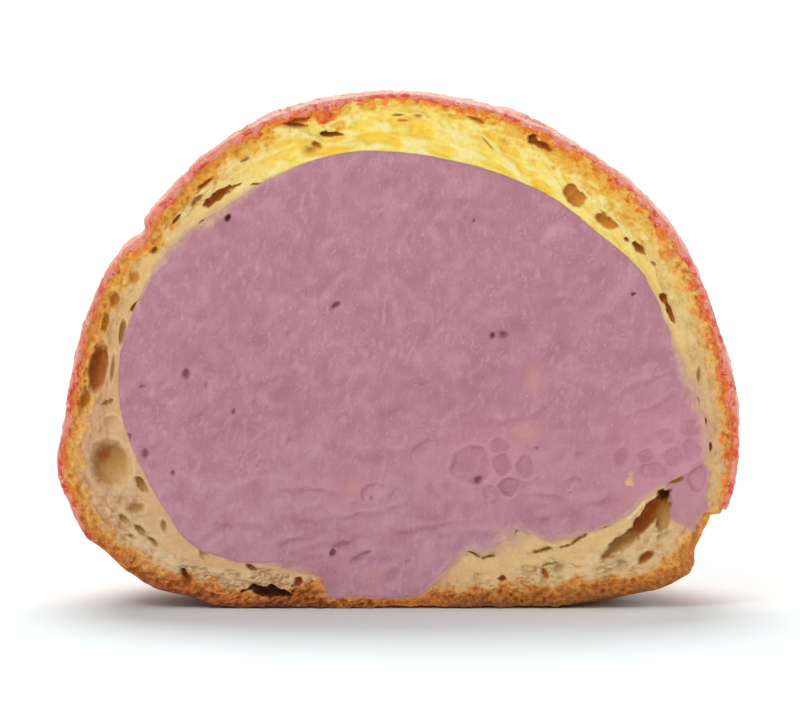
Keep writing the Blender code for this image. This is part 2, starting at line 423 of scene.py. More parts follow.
class OvalField:
    """Finds the ovals that reach a place, from squares that list what touches them."""

    SQUARE = 4.0
    MERGING = 6.0  # how hard one oval's rim is against the next one's: high is hard

    def __init__(self, ovals: tuple[Oval, ...], raggedness: float) -> None:
        """Sorts the ovals into squares.

        Args:
            ovals: The ovals.
            raggedness: Share by which their rims wander.
        """
        self.raggedness = raggedness
        self.squares: dict[tuple[int, int], list[Oval]] = {}
        for oval in ovals:
            reach = max(oval.width, oval.height) * 0.75 + 0.4
            for column in range(self._square(oval.x - reach), self._square(oval.x + reach) + 1):
                for row in range(self._square(oval.z - reach), self._square(oval.z + reach) + 1):
                    self.squares.setdefault((column, row), []).append(oval)

    def _square(self, place: float) -> int:
        """Number of the square along one axis."""
        return math.floor(place / self.SQUARE)

    def at(self, x: float, z: float) -> Dip:
        """What the ovals do at a place of the face. Ones that touch flow together."""
        near = self.squares.get((self._square(x), self._square(z)))
        if not near:
            return Dip()
        wobble = self.raggedness * (grain(x, z, 1.0, 3.0) + 0.8 * grain(x, z, 0.4, 4.0))
        total = lip = depth = tone = edge = slope = fall = 0.0
        for oval in near:
            out, oval_fall = oval.spread(x, z, wobble * oval.ragged)
            if out > 1.8:
                continue
            lip = max(lip, math.exp(-(((out - 1.12) / 0.16) ** 2)))
            weight = math.exp(-self.MERGING * out)
            total += weight
            depth += weight * oval.depth
            tone += weight * oval.tone.value
            edge += weight * oval.edge
            slope += weight * oval.slope
            fall += weight * oval_fall
        if not total:
            return Dip()
        out = -math.log(total) / self.MERGING
        openness = smooth_step(1.05, edge / total, out)
        fall /= total
        bowl = 1 - 0.25 * min(1.0, max(0.0, out)) ** 2 - 0.35 * fall
        return Dip(
            depth / total * openness * bowl,
            openness,
            tone / total,
            lip * (1 - openness),
            slope / total * fall,
        )


@dataclass(frozen=True)
class Cell:
    """A bubble of a foam, which shares its thin walls with the next ones."""

    x: float
    z: float
    width: float
    height: float
    depth: float = 0.25
    shine: float = 1.0  # how light its walls are


class Honeycomb:
    """A few bubbles side by side, whose walls stand where two are equally near."""

    LIMIT = 1.15  # walls end this far out where there is no next bubble, as a share

    def __init__(self, bubbles: tuple[Cell, ...]) -> None:
        """Keeps the bubbles."""
        self.bubbles = bubbles

    def at(self, x: float, z: float) -> Dip:
        """What the honeycomb does at a place: how deep, how open, and how much wall."""
        x += 0.35 * grain(x, z, 1.3, 12.0)
        z += 0.35 * grain(x, z, 1.3, 13.0)
        ranked = sorted(
            (math.hypot((x - b.x) / b.width, (z - b.z) / b.height) * 2, b.depth, b.shine)
            for b in self.bubbles
        )
        (first, depth, shine), (second, _, _) = ranked[0], ranked[1]
        if first > 1.7:
            return Dip()
        second = min(second, self.LIMIT)
        inside = smooth_step(0.06, 0.34, second - first)
        wall = math.exp(-(((second - first) / 0.16) ** 2)) * smooth_step(1.6, 1.1, first)
        return Dip(depth * inside, inside, 0.0, wall * shine)


@dataclass(frozen=True)
class Crease:
    """A bent fold in the cream, with a lit upper side and a shaded lower one."""

    x1: float
    z1: float
    x2: float
    z2: float
    sag: float = 0.0  # how far its middle hangs below the straight line
    width: float = 0.5
    depth: float = 0.2

    def height(self, x: float, z: float) -> float:
        """How far the fold raises or, below nought, sinks the surface at a place."""
        run, rise = self.x2 - self.x1, self.z2 - self.z1
        length = math.hypot(run, rise)
        along = ((x - self.x1) * run + (z - self.z1) * rise) / length / length
        if not -0.05 < along < 1.05:
            return 0.0
        aside = ((z - self.z1) * run - (x - self.x1) * rise) / length
        aside += self.sag * 4 * along * (1 - along) + 0.5 * grain(x, z, 2.2, 33.0)
        share = aside / (self.width * (1 + 0.6 * grain(x, z, 1.7, 34.0)))
        if abs(share) > 3.5:
            return 0.0
        fade = smooth_step(-0.05, 0.25, along) * smooth_step(1.05, 0.7, along)
        fold = 0.8 * math.exp(-((share - 0.9) ** 2)) - math.exp(-(share**2))
        return self.depth * fade * fold


# ------------------------------------------------------------------- mesh and paint


def disc_mesh(bm: bmesh.types.BMesh, squares: int) -> list[bmesh.types.BMVert]:
    """Adds a round sheet of near-square cells, of radius 1, in the XY plane.

    Args:
        bm: The mesh that it is added to.
        squares: Cells across it.

    Returns:
        The sheet's vertices.
    """
    made = bmesh.ops.create_grid(bm, x_segments=squares, y_segments=squares, size=1.0)
    for vert in made["verts"]:
        u, v = vert.co.x, vert.co.y
        vert.co = Vector((u * math.sqrt(1 - v * v / 2), v * math.sqrt(1 - u * u / 2), 0.0))
    return made["verts"]


def polar(co: Vector) -> tuple[float, float]:
    """Angle in degrees and distance from the middle, of a point on a round sheet."""
    return math.degrees(math.atan2(co.y, co.x)), math.hypot(co.x, co.y)


class Paint:
    """Named numbers on a mesh's vertices, which its material reads."""

    def __init__(self, bm: bmesh.types.BMesh, *names: str) -> None:
        """Adds a layer for each name."""
        for name in names:
            bm.verts.layers.float.new(name)
        self.layers = {name: bm.verts.layers.float[name] for name in names}

    def set(self, vert: bmesh.types.BMVert, **values: float) -> None:
        """Stores each value on the vertex."""
        for name, value in values.items():
            vert[self.layers[name]] = value


def finished(name: str, bm: bmesh.types.BMesh, material: bpy.types.Material) -> bpy.types.Object:
    """Makes a smooth object of a mesh.

    Args:
        name: The object's name.
        bm: Its mesh, which is freed.
        material: Its material.

    Returns:
        The object, at the origin.
    """
    mesh = bpy.data.meshes.new(name)
    bm.to_mesh(mesh)
    bm.free()
    mesh.shade_smooth()
    mesh.materials.append(material)
    obj = bpy.data.objects.new(name, mesh)
    bpy.context.scene.collection.objects.link(obj)
    return obj


def cream_arm(x: float, z: float) -> float:
    """1 where cream has run over the crumb low on the right, beside the tunnel, else 0."""
    wander = 0.2 * grain(x, z, 2.0, 16.0) + 0.12 * grain(x, z, 0.7, 17.0)
    return smooth_step(1.2, 0.85, math.hypot((x - 31.6) / 2.4, (z - 13.4) / 4.6) + wander)


def section_relief(x: float, z: float) -> float:
    """How far the cut through the crust and the skin lies behind the plain cut, in mm."""
    return max(0.02, 0.16 + 0.22 * grain(x, z, 0.5, 50.0) + 0.25 * grain(x, z, 1.4, 51.0))


# -------------------------------------------------------------------------- shaders


class Signal:
    """A value in a shader. Python arithmetic on it adds Math nodes."""

    def __init__(self, graph: "Graph", socket: bpy.types.NodeSocket) -> None:
        """Wraps an output socket of the graph."""
        self.graph = graph
        self.socket = socket

    def _math(self, operation: str, first: Any, second: Any) -> "Signal":
        """The result of a Math node."""
        node = self.graph.node("ShaderNodeMath", {"operation": operation}, {0: first, 1: second})
        return Signal(self.graph, node.outputs[0])

    def __add__(self, other: Any) -> "Signal":
        """self + other."""
        return self._math("ADD", self, other)

    def __radd__(self, other: Any) -> "Signal":
        """other + self."""
        return self._math("ADD", other, self)

    def __sub__(self, other: Any) -> "Signal":
        """self - other."""
        return self._math("SUBTRACT", self, other)

    def __rsub__(self, other: Any) -> "Signal":
        """other - self."""
        return self._math("SUBTRACT", other, self)

    def __mul__(self, other: Any) -> "Signal":
        """self * other."""
        return self._math("MULTIPLY", self, other)

    def __rmul__(self, other: Any) -> "Signal":
        """other * self."""
        return self._math("MULTIPLY", other, self)

    def rise(self, low: float, high: float) -> "Signal":
        """Eases from 0 at low to 1 at high, which may lie below low, for a fall."""
        node = self.graph.node(
            "ShaderNodeMapRange",
            {"interpolation_type": "SMOOTHSTEP"},
            {"Value": self, "From Min": low, "From Max": high},
        )
        return Signal(self.graph, node.outputs["Result"])


class Graph:
    """A material's node tree, with one Principled shader."""

    def __init__(self, name: str) -> None:
        """Starts a material of that name."""
        self.material = bpy.data.materials.new(name)
        self.material.use_nodes = True
        self.nodes = self.material.node_tree.nodes
        self.links = self.material.node_tree.links
        self.shader = self.nodes["Principled BSDF"]
        self.place = self.node("ShaderNodeTexCoord", {}, {}).outputs["Object"]

    def node(self, kind: str, settings: dict[str, Any], inputs: dict[Any, Any]) -> bpy.types.Node:
        """Adds a node.

        Args:
            kind: The node's type.
            settings: Its properties, which are set first. "stops" fills a colour ramp.
            inputs: A value, a Signal or a socket for each input, by name or number.

        Returns:
            The node.
        """
        node = self.nodes.new(kind)
        for key, value in settings.items():
            if key == "stops":
                self._fill_ramp(node.color_ramp, value)
            else:
                setattr(node, key, value)
        for key, value in inputs.items():
            self.feed(node.inputs[key], value)
        return node

    @staticmethod
    def _fill_ramp(ramp: bpy.types.ColorRamp, stops: list[tuple[float, Any]]) -> None:
        """Gives a colour ramp its stops."""
        while len(ramp.elements) < len(stops):
            ramp.elements.new(1.0)
        for element, (position, colour) in zip(ramp.elements, stops):
            element.position = position
            element.color = colour

    def feed(self, socket: bpy.types.NodeSocket, value: Any) -> None:
        """Links a Signal or a socket to an input, or sets the input to a value."""
        if isinstance(value, Signal):
            value = value.socket
        if isinstance(value, bpy.types.NodeSocket):
            self.links.new(value, socket)
        else:
            socket.default_value = value

    def painted(self, name: str) -> Signal:
        """The number of that name on the mesh's vertices."""
        node = self.node("ShaderNodeAttribute", {"attribute_name": name}, {})
        return Signal(self, node.outputs["Fac"])

    def speckle(self, size: float, detail: float = 2.0) -> Signal:
        """Noise about 0, mostly within 0.3 of it, on Object coordinates.

        Args:
            size: Width of its lumps.
            detail: Octaves of finer noise.
        """
        node = self.node(
            "ShaderNodeTexNoise",
            {},
            {"Vector": self.place, "Scale": 1 / (size * MM), "Detail": detail, "Roughness": 0.6},
        )
        return Signal(self, node.outputs["Fac"]) - 0.5

    def drawn(self, size: float, stretch: tuple[float, float, float], turn: float) -> Signal:
        """Noise about 0 whose lumps are drawn out.

        Args:
            size: Width of its lumps.
            stretch: How many times longer they are along each axis.
            turn: Their turn about Y, in degrees, with the X axis going up.
        """
        mapping = self.node(
            "ShaderNodeMapping",
            {"vector_type": "TEXTURE"},
            {"Vector": self.place, "Rotation": (0.0, -math.radians(turn), 0.0), "Scale": stretch},
        )
        node = self.node(
            "ShaderNodeTexNoise",
            {},
            {"Vector": mapping.outputs[0], "Scale": 1 / (size * MM), "Detail": 2.0, "Distortion": 0.6},
        )
        return Signal(self, node.outputs["Fac"]) - 0.5

    def bubbles(self, size: float) -> Signal:
        """Distance to the nearest bubble's middle, as a share of the bubbles' size."""
        node = self.node(
            "ShaderNodeTexVoronoi", {}, {"Vector": self.place, "Scale": 1 / (size * MM)}
        )
        return Signal(self, node.outputs["Distance"])

    def mix(self, first: Any, second: Any, share: Any) -> bpy.types.NodeSocket:
        """The colour at that share of the way from the first to the second."""
        node = self.node("ShaderNodeMix", {"data_type": "RGBA"}, {0: share, 6: first, 7: second})
        return node.outputs[2]

    def ramp(self, place: Any, stops: list[tuple[float, Any]]) -> bpy.types.NodeSocket:
        """The colour at a place on a ramp."""
        return self.node("ShaderNodeValToRGB", {"stops": stops}, {"Fac": place}).outputs["Color"]

    def shaded(self, colour: Any, value: Signal) -> bpy.types.NodeSocket:
        """The colour made lighter or darker by that factor."""
        node = self.node("ShaderNodeHueSaturation", {}, {"Value": value, "Color": colour})
        return node.outputs["Color"]

    def bump(self, height: Signal, rise: float) -> bpy.types.NodeSocket:
        """A normal from a height, of which 1 stands for that many millimetres."""
        node = self.node("ShaderNodeBump", {}, {"Height": height, "Distance": rise * MM})
        return node.outputs[0]

    def finish(self, colour: Any, roughness: Any, normal: Any) -> bpy.types.Material:
        """Feeds the shader's colour, roughness and normal, and returns the material."""
        self.feed(self.shader.inputs["Base Color"], colour)
        self.feed(self.shader.inputs["Roughness"], roughness)
        self.feed(self.shader.inputs["Normal"], normal)
        return self.material

    def soften(self, weight: float, reach: float, tint: tuple[float, float, float]) -> None:
        """Lets light pass under the surface.

        Args:
            weight: Share of the light that does.
            reach: How far it spreads.
            tint: Spread of red, green and blue, as shares of the reach.
        """
        self.shader.inputs["Subsurface Weight"].default_value = weight
        self.shader.inputs["Subsurface Radius"].default_value = tint
        self.shader.inputs["Subsurface Scale"].default_value = reach * MM


Colour = tuple[float, float, float, float]


@dataclass(frozen=True)
class ChouxFinish:
    """Baked choux: pale crumb, bright yellow where eggy, golden to brown where toasted."""

    pale: Colour = linear(243, 203, 148)
    tan: Colour = linear(200, 143, 102)
    eggy: Colour = linear(255, 226, 114)
    yolk: Colour = linear(255, 208, 36)
    # Pale film of the crumb, also used as a painted highlight on the ridges of folds.
    film: Colour = linear(255, 238, 190)
    toast_light: Colour = linear(250, 204, 124)
    toast_golden: Colour = linear(238, 164, 70)
    toast_orange: Colour = linear(210, 118, 46)
    toast_brown: Colour = linear(158, 78, 26)
    toast_dark: Colour = linear(100, 44, 18)
    amber: Colour = linear(255, 190, 50)
    syrup: Colour = linear(226, 58, 40)
    syrup_orange: Colour = linear(250, 124, 34)
    cream: Colour = linear(194, 134, 144)
    cream_light: Colour = linear(212, 156, 160)
    # The hollow colours are partly the crumb's own colour and partly painted shade of the hollows; the
    # darkest is painted shade of deep hollows.
    hollow_pale: Colour = linear(208, 172, 120)
    hollow_olive: Colour = linear(180, 132, 60)
    hollow_amber: Colour = linear(204, 128, 8)
    hollow_brown: Colour = linear(176, 90, 4)
    hollow_dark: Colour = linear(96, 42, 18)

    def material(self) -> bpy.types.Material:
        """Makes the material."""
        g = Graph("baked_choux")
        coarse = g.speckle(1.3, 3.0)
        middle = g.speckle(0.55, 2.0)
        fine = g.speckle(0.24, 2.0)
        pits = g.bubbles(0.5) - 0.42
        grit = fine * 1.3 + middle * 0.8 - pits * 0.4

        crumb = g.mix(self.pale, self.tan, g.painted("tan") + coarse * 0.6)
        crumb = g.mix(crumb, self.eggy, g.painted("eggy"))
        crumb = g.mix(crumb, self.yolk, g.painted("yolk"))
        crumb = g.mix(crumb, self.film, g.painted("film"))
        crumb = g.shaded(crumb, 1.0 + fine * 0.25 + middle * 0.2)

        dark = g.painted("dark") + grit * 0.4 + coarse * 0.5
        toasted = g.ramp(
            dark,
            [
                (0.0, self.toast_light),
                (0.28, self.toast_golden),
                (0.52, self.toast_orange),
                (0.78, self.toast_brown),
                (1.0, self.toast_dark),
            ],
        )
        toasted = g.mix(toasted, self.amber, g.painted("eggy") * (0.85 + coarse))
        toast = (g.painted("toast") + middle * 0.8 + fine * 0.4).rise(0.1, 0.85)
        colour = g.mix(crumb, toasted, toast)
        syrup = (g.painted("syrup") + coarse * 2.2 + fine * 0.5).rise(0.4, 0.72)
        red = g.mix(self.syrup, self.syrup_orange, (coarse * 2.4 + middle).rise(-0.25, 0.25))
        colour = g.mix(colour, red, syrup * 0.85)
        inside = g.ramp(
            g.painted("tone") + fine * 0.08,
            [
                (0.0, self.hollow_amber),
                (0.25, self.hollow_pale),
                (0.5, self.hollow_olive),
                (0.75, self.hollow_brown),
                (1.0, self.hollow_dark),
            ],
        )
        # Painted light and shade inside each hollow: lighter towards its lower right, darker towards its
        # upper left.
        inside = g.shaded(inside, 1.0 + g.painted("glow") * 0.6)
        # Painted shade: opened bubbles, foam cells and pores take the darker hollow colours.
        colour = g.mix(colour, inside, g.painted("hollow"))
        cream = g.mix(self.cream, self.cream_light, g.painted("cream_film") + coarse * 0.8 + 0.1)
        stain = (g.painted("cream_stain") + coarse * 0.5 + fine * 0.3).rise(0.1, 0.9)
        colour = g.mix(colour, cream, stain)
        g.soften(0.2, 0.9, (1.0, 0.5, 0.2))
        height = grit * toast + fine * 0.4
        return g.finish(colour, 0.58 + 0.4 * coarse, g.bump(height, 0.14))


@dataclass(frozen=True)
class CraquelinFinish:
    """Baked pink sugar dough: pale and sugary outside, red where it meets the choux."""

    pink: Colour = linear(248, 172, 152)
    sugar: Colour = linear(255, 222, 208)
    salmon: Colour = linear(236, 130, 98)
    rose: Colour = linear(246, 140, 116)
    red: Colour = linear(230, 66, 46)
    orange: Colour = linear(250, 134, 44)
    wine: Colour = linear(140, 38, 36)
    golden: Colour = linear(238, 172, 92)
    crust: Colour = linear(196, 108, 50)

    def material(self) -> bpy.types.Material:
        """Makes the material."""
        g = Graph("craquelin")
        broad = g.speckle(5.0, 2.0)
        patch = g.speckle(1.2, 3.0)
        blotch = g.speckle(0.85, 2.0)
        middle = g.speckle(0.5, 2.0)
        fine = g.speckle(0.22, 2.0)
        inside = g.painted("inside")

        colour = g.mix(self.pink, self.salmon, (broad * 1.4 + patch).rise(-0.12, 0.32))
        colour = g.mix(colour, self.sugar, (patch + fine * 0.8).rise(-0.06, 0.22) * 0.85)
        spots = (g.bubbles(1.1) + middle * 0.5).rise(0.26, 0.14) * g.speckle(3.0, 1.0).rise(0.0, 0.12)
        colour = g.mix(colour, self.red, spots * 0.45)
        deep = inside.rise(0.0, 0.4)
        colour = g.mix(colour, self.rose, (deep * 0.6 + patch * 1.2 + fine).rise(0.25, 0.7))
        red = (inside * 0.7 + broad * 0.9 + middle * 0.9 + patch * 2.6).rise(0.4, 0.68)
        colour = g.mix(colour, self.red, red * 0.9)
        # Painted sparkle highlights of sugar crystals in the crust's section.
        painted_sparkle = (fine * 0.6 + middle + blotch * 0.5).rise(0.1, 0.28) * deep
        colour = g.mix(colour, self.sugar, painted_sparkle * 0.7)
        golden = (inside + blotch * 1.8 + middle * 0.6 - broad * 0.6).rise(0.8, 1.15)
        colour = g.mix(colour, g.mix(self.orange, self.golden, (patch * 2.0).rise(-0.1, 0.6)), golden)
        specks = (g.bubbles(1.9) + fine * 0.1).rise(0.12, 0.07)
        colour = g.mix(colour, self.wine, specks * 0.55)
        crack = (g.painted("crack") + middle).rise(0.35, 0.7)
        colour = g.mix(colour, g.mix(self.golden, self.crust, (patch * 2.0).rise(-0.3, 0.5)), crack)
        colour = g.shaded(colour, 1.0 + fine * 0.4 + middle * 0.2)
        g.soften(0.15, 0.8, (1.0, 0.4, 0.25))
        height = fine + middle * 0.7 - g.bubbles(0.35) * 0.5
        return g.finish(colour, 0.52 + 0.5 * patch, g.bump(height, 0.2))


@dataclass(frozen=True)
class CreamFinish:
    """Mauve pastry cream, smeared by the knife."""

    mauve: Colour = linear(187, 126, 142)
    shadow: Colour = linear(174, 111, 127)
    light: Colour = linear(204, 150, 164)
    rosy: Colour = linear(212, 143, 153)
    peach: Colour = linear(210, 146, 142)
    toasted: Colour = linear(196, 122, 66)
    # Painted shade inside the cream's opened bubbles.
    painted_hole_shade: Colour = linear(122, 56, 62)
    crumb: Colour = linear(226, 186, 132)
    painted_glint: Colour = linear(218, 174, 184)

    def material(self) -> bpy.types.Material:
        """Makes the material."""
        g = Graph("mauve_cream")
        broad = g.speckle(6.0, 3.0)
        mottle = g.speckle(1.5, 3.0)
        upright = g.drawn(0.45, (1.0, 1.0, 2.2), -8.0)
        slanted = g.drawn(0.3, (1.0, 1.0, 4.0), -42.0)
        fine = g.speckle(0.22, 2.0)
        tint = g.painted("tint") + broad * 0.3 + mottle * 0.25 + upright * 0.35 + fine * 0.4
        # The ramp's shadow and light ends give both the cream's mottled tone and the painted shade and light
        # carried by the tint.
        colour = g.ramp(tint + 0.5, [(0.15, self.shadow), (0.5, self.mauve), (0.9, self.light)])
        colour = g.mix(colour, self.rosy, g.painted("rosy"))
        colour = g.mix(colour, self.peach, g.painted("peach"))
        strokes = slanted.rise(0.1, 0.24) * (mottle + fine * 0.5).rise(-0.04, 0.1)
        flecks = upright.rise(0.1, 0.22) * (broad + fine * 0.5).rise(-0.1, 0.06)
        colour = g.mix(colour, self.light, strokes * 0.7)
        colour = g.mix(colour, self.light, flecks * 0.6)
        colour = g.mix(colour, self.light, g.painted("film"))
        # Painted glints: tiny pale highlights scattered over the cream.
        specks = (g.bubbles(1.2) + fine * 0.3).rise(0.13, 0.06) * broad.rise(-0.2, 0.1)
        colour = g.mix(colour, self.painted_glint, specks * 0.5)
        colour = g.mix(colour, self.painted_hole_shade, g.painted("hollow"))
        crumb = g.mix(self.crumb, self.toasted, g.painted("toasted"))
        crumb = g.shaded(crumb, 1.0 + mottle * 0.4 + fine * 0.3)
        share = (g.painted("crumb") + mottle * 0.5 + fine * 0.3).rise(0.1, 0.9)
        colour = g.mix(colour, crumb, share)
        g.soften(0.3, 1.2, (1.0, 0.6, 0.6))
        height = mottle * 0.7 + upright * 0.4 + slanted * 0.25 + fine * 0.3
        return g.finish(colour, 0.46 + 0.3 * fine, g.bump(height, 0.12))


@dataclass(frozen=True)
class FloorFinish:
    """Plain pale card."""

    pale: Colour = (0.855, 0.92, 0.925, 1.0)

    def material(self) -> bpy.types.Material:
        """Makes the material."""
        g = Graph("pale_card")
        return g.finish(self.pale, 0.9, g.bump(g.speckle(2.0, 1.0), 0.01))


# --------------------------------------------------------------------- choux shell


CHOUX_HOLLOWS = (
    # Left wall, from the shoulder down.
    Oval(-27.0, 39.6, 1.0, 0.5, 0.5, 55, Tone.BROWN),
    Oval(-29.2, 36.5, 2.1, 1.4, 0.5, 60, Tone.AMBER, 0.3),
    Oval(-31.3, 34.2, 1.2, 1.9, 0.8, -10, Tone.AMBER, 0.5),
    Oval(-28.9, 33.5, 1.6, 0.8, 0.8, 30, Tone.OLIVE),
    Oval(-32.4, 31.6, 0.9, 1.8, 0.7, -10, Tone.AMBER),
    Oval(-30.5, 30.6, 0.9, 3.0, 0.5, -8, Tone.OLIVE, 0.6, 0.5),
    Oval(-33.2, 26.6, 2.1, 5.6, 1.5, -8, Tone.BROWN, 0.7, 0.6),
    Oval(-31.6, 26.6, 0.5, 3.6, 0.3, -6, Tone.OLIVE, 0.3, 0.5),
    Oval(-34.7, 23.0, 1.3, 2.6, 0.9, -14, Tone.AMBER, 0.5),
    Oval(-32.2, 22.8, 1.6, 0.6, 0.5, 22, Tone.OLIVE),
    Oval(-31.7, 20.6, 1.9, 1.7, 0.35, 0, Tone.PALE, 0.2, 0.4),
    Oval(-31.9, 16.0, 4.6, 5.6, 1.3, 8, Tone.OLIVE, 0.55, 0.4, 0.6),
    Oval(-32.5, 16.8, 2.8, 3.2, 1.9, 20, Tone.BROWN, 0.0, 0.4, 0.4),
    Oval(-28.5, 13.8, 0.9, 2.3, 0.8, 32, Tone.OLIVE, 0.8),
    Oval(-29.1, 11.1, 2.3, 1.4, 0.6, 5, Tone.OLIVE, 0.3, 0.5),
    Oval(-30.7, 12.0, 0.8, 1.2, 0.4, 0, Tone.PALE, 0.5),
    Oval(-26.0, 9.1, 0.8, 1.9, 0.4, 12, Tone.OLIVE, 0.3, 0.5),
    Oval(-30.4, 9.9, 1.6, 0.7, 0.6, -38, Tone.OLIVE),
    Oval(-28.6, 8.7, 1.9, 0.7, 0.7, -42, Tone.OLIVE),
    Oval(-27.2, 7.4, 1.7, 0.6, 0.6, -44, Tone.OLIVE),
    Oval(-29.6, 8.0, 1.0, 0.5, 0.5, -40, Tone.PALE),
    Oval(-23.6, 3.6, 0.8, 2.3, 1.2, 28, Tone.BROWN, 0.6),
    Oval(-21.6, 6.0, 0.9, 1.7, 0.5, 30, Tone.PALE),
    Oval(-16.4, 4.5, 1.4, 0.6, 0.9, -35, Tone.OLIVE),
    Oval(-14.4, 1.9, 5.0, 1.1, 1.8, -6, Tone.DARK, 0.85, 1.6, 0.0),
    Oval(-15.9, 2.3, 1.6, 0.6, 1.6, -20, Tone.DARK, 0.85, 1.6, 0.0),
    Oval(-11.2, 2.9, 1.1, 1.1, 0.9, 10, Tone.BROWN, 0.6, 1.0, 0.4),
    # Upper left and top.
    Oval(-24.6, 43.0, 1.5, 0.4, 0.5, 50, Tone.BROWN),
    Oval(-22.6, 41.7, 1.2, 0.3, 0.4, 35, Tone.OLIVE),
    Oval(-21.4, 47.0, 2.4, 0.5, 0.6, 38, Tone.BROWN, 0.5),
    Oval(-20.0, 45.6, 3.6, 1.1, 1.3, 38, Tone.BROWN, 0.8, 1.3),
    Oval(-18.4, 46.6, 2.0, 0.3, 0.5, 20, Tone.BROWN),
    Oval(-22.4, 45.1, 1.6, 0.6, 0.5, 48, Tone.OLIVE),
    Oval(-15.8, 46.9, 1.5, 0.3, 0.5, 0, Tone.AMBER),
    Oval(-17.0, 49.6, 1.3, 0.4, 0.4, 20, Tone.OLIVE),
    Oval(-21.8, 42.7, 0.9, 0.4, 0.4, 45, Tone.OLIVE),
    Oval(-11.2, 54.1, 3.4, 1.7, 1.0, 8, Tone.BROWN, 0.5, 1.0, 0.95),
    Oval(-11.4, 53.4, 2.6, 0.5, 1.1, -6, Tone.BROWN, 0.7, 1.2, 0.3),
    Oval(-7.4, 52.4, 2.4, 0.6, 1.1, 3, Tone.BROWN, 0.8, 1.6),
    Oval(-9.1, 51.2, 1.8, 0.9, 1.0, -30, Tone.AMBER, 0.4, 1.0, 0.9),
    Oval(-9.8, 50.6, 2.2, 1.6, 0.7, 0, Tone.AMBER, 0.1, 1.0, 1.0),
    Oval(-0.2, 54.5, 1.2, 0.3, 0.4, 4, Tone.OLIVE),
    Oval(0.2, 53.9, 1.4, 0.4, 0.4, 0, Tone.AMBER),
    Oval(2.0, 54.4, 1.5, 0.7, 0.4, 0, Tone.AMBER, 0.2),
    Oval(8.4, 54.0, 2.3, 0.5, 0.5, -22, Tone.AMBER),
    Oval(15.4, 51.3, 2.8, 0.8, 1.0, -25, Tone.BROWN, 0.75, 1.5),
    Oval(14.6, 51.9, 0.9, 1.0, 0.9, 0, Tone.BROWN, 0.75),
    Oval(9.6, 51.4, 2.2, 0.3, 0.4, -48, Tone.AMBER, 0.5),
    # Right wall, from the shoulder down.
    Oval(18.7, 46.1, 1.6, 1.6, 0.9, 0, Tone.AMBER, 0.85, 0.6, 0.15),
    Oval(19.4, 45.3, 2.1, 1.9, 1.0, 0, Tone.AMBER, 0.85, 0.6, 0.15),
    Oval(22.7, 42.7, 2.8, 1.3, 0.9, -32, Tone.AMBER, 0.75, 0.8, 0.2),
    Oval(22.4, 43.6, 0.6, 0.7, 0.7, 0, Tone.AMBER),
    Oval(24.9, 40.8, 0.8, 0.5, 0.5, -40, Tone.BROWN),
    Oval(26.2, 39.9, 2.1, 0.7, 1.0, -48, Tone.BROWN, 0.8),
    Oval(27.9, 38.1, 0.8, 0.4, 0.4, -40, Tone.OLIVE),
    Oval(29.0, 34.3, 1.5, 0.8, 1.0, -60, Tone.BROWN, 0.8),
    Oval(29.7, 32.8, 3.0, 0.6, 0.9, -66, Tone.BROWN, 0.8),
    Oval(32.9, 26.0, 0.5, 2.2, 0.4, 0, Tone.OLIVE, 0.5),
    Oval(32.7, 22.6, 0.5, 2.0, 0.4, -5, Tone.OLIVE, 0.5),
    Oval(33.6, 20.7, 0.4, 0.7, 0.5, 0, Tone.BROWN),
    Oval(34.2, 17.9, 0.4, 1.2, 0.7, 0, Tone.BROWN),
    # Low on the right: a long torn tunnel, then smaller bubbles towards the base.
    Oval(24.5, 7.3, 5.2, 1.5, 1.2, 36, Tone.OLIVE, 0.8, 1.2, 0.3),
    Oval(27.4, 10.2, 6.0, 2.0, 2.2, 50, Tone.BROWN, 0.8, 1.3, 0.2),
    Oval(28.9, 10.3, 2.0, 3.6, 1.5, 0, Tone.OLIVE, 0.7, 1.2, 0.3),
    Oval(29.2, 12.4, 1.8, 1.2, 2.2, 55, Tone.DARK, 0.8, 1.0, 0.2),
    Oval(30.4, 14.3, 1.8, 0.9, 0.6, 12, Tone.OLIVE, 0.7),
    Oval(27.2, 5.7, 2.3, 1.3, 1.0, 35, Tone.BROWN, 0.5, 1.0, 0.35),
    Oval(29.1, 8.1, 1.9, 0.8, 0.5, 30, Tone.PALE, 0.5),
    Oval(24.6, 4.7, 1.5, 1.3, 0.5, 30, Tone.PALE, 0.6),
    Oval(22.9, 4.1, 1.2, 0.8, 0.4, 30, Tone.PALE, 0.6),
    Oval(17.6, 4.4, 1.6, 1.1, 0.5, 20, Tone.PALE, 0.6),
    Oval(16.1, 3.7, 0.9, 1.5, 0.6, 30, Tone.BROWN, 0.5),
    Oval(11.3, 3.3, 1.0, 0.7, 0.7, 0, Tone.BROWN),
    Oval(16.4, 4.9, 2.2, 0.25, 0.5, 14, Tone.OLIVE),
    Oval(8.1, 6.1, 1.7, 0.3, 0.6, -30, Tone.OLIVE, 0.5, 2.0),
    Oval(9.9, 5.8, 1.2, 0.35, 0.6, 8, Tone.OLIVE, 0.5, 2.0),
    Oval(15.6, 6.4, 2.6, 0.45, 0.7, 14, Tone.OLIVE, 0.5, 2.4),
    Oval(19.6, 7.6, 2.4, 0.45, 0.7, 34, Tone.OLIVE, 0.5, 2.2),
    Oval(18.3, 6.9, 1.6, 0.4, 0.6, 14, Tone.OLIVE, 0.5, 2.2),
    Oval(22.8, 9.3, 1.3, 0.4, 0.5, 40, Tone.OLIVE),
    # A hole in the veil of cream on the left shoulder.
    Oval(-18.9, 43.2, 0.7, 1.0, 1.0, -30, Tone.DARK),
)

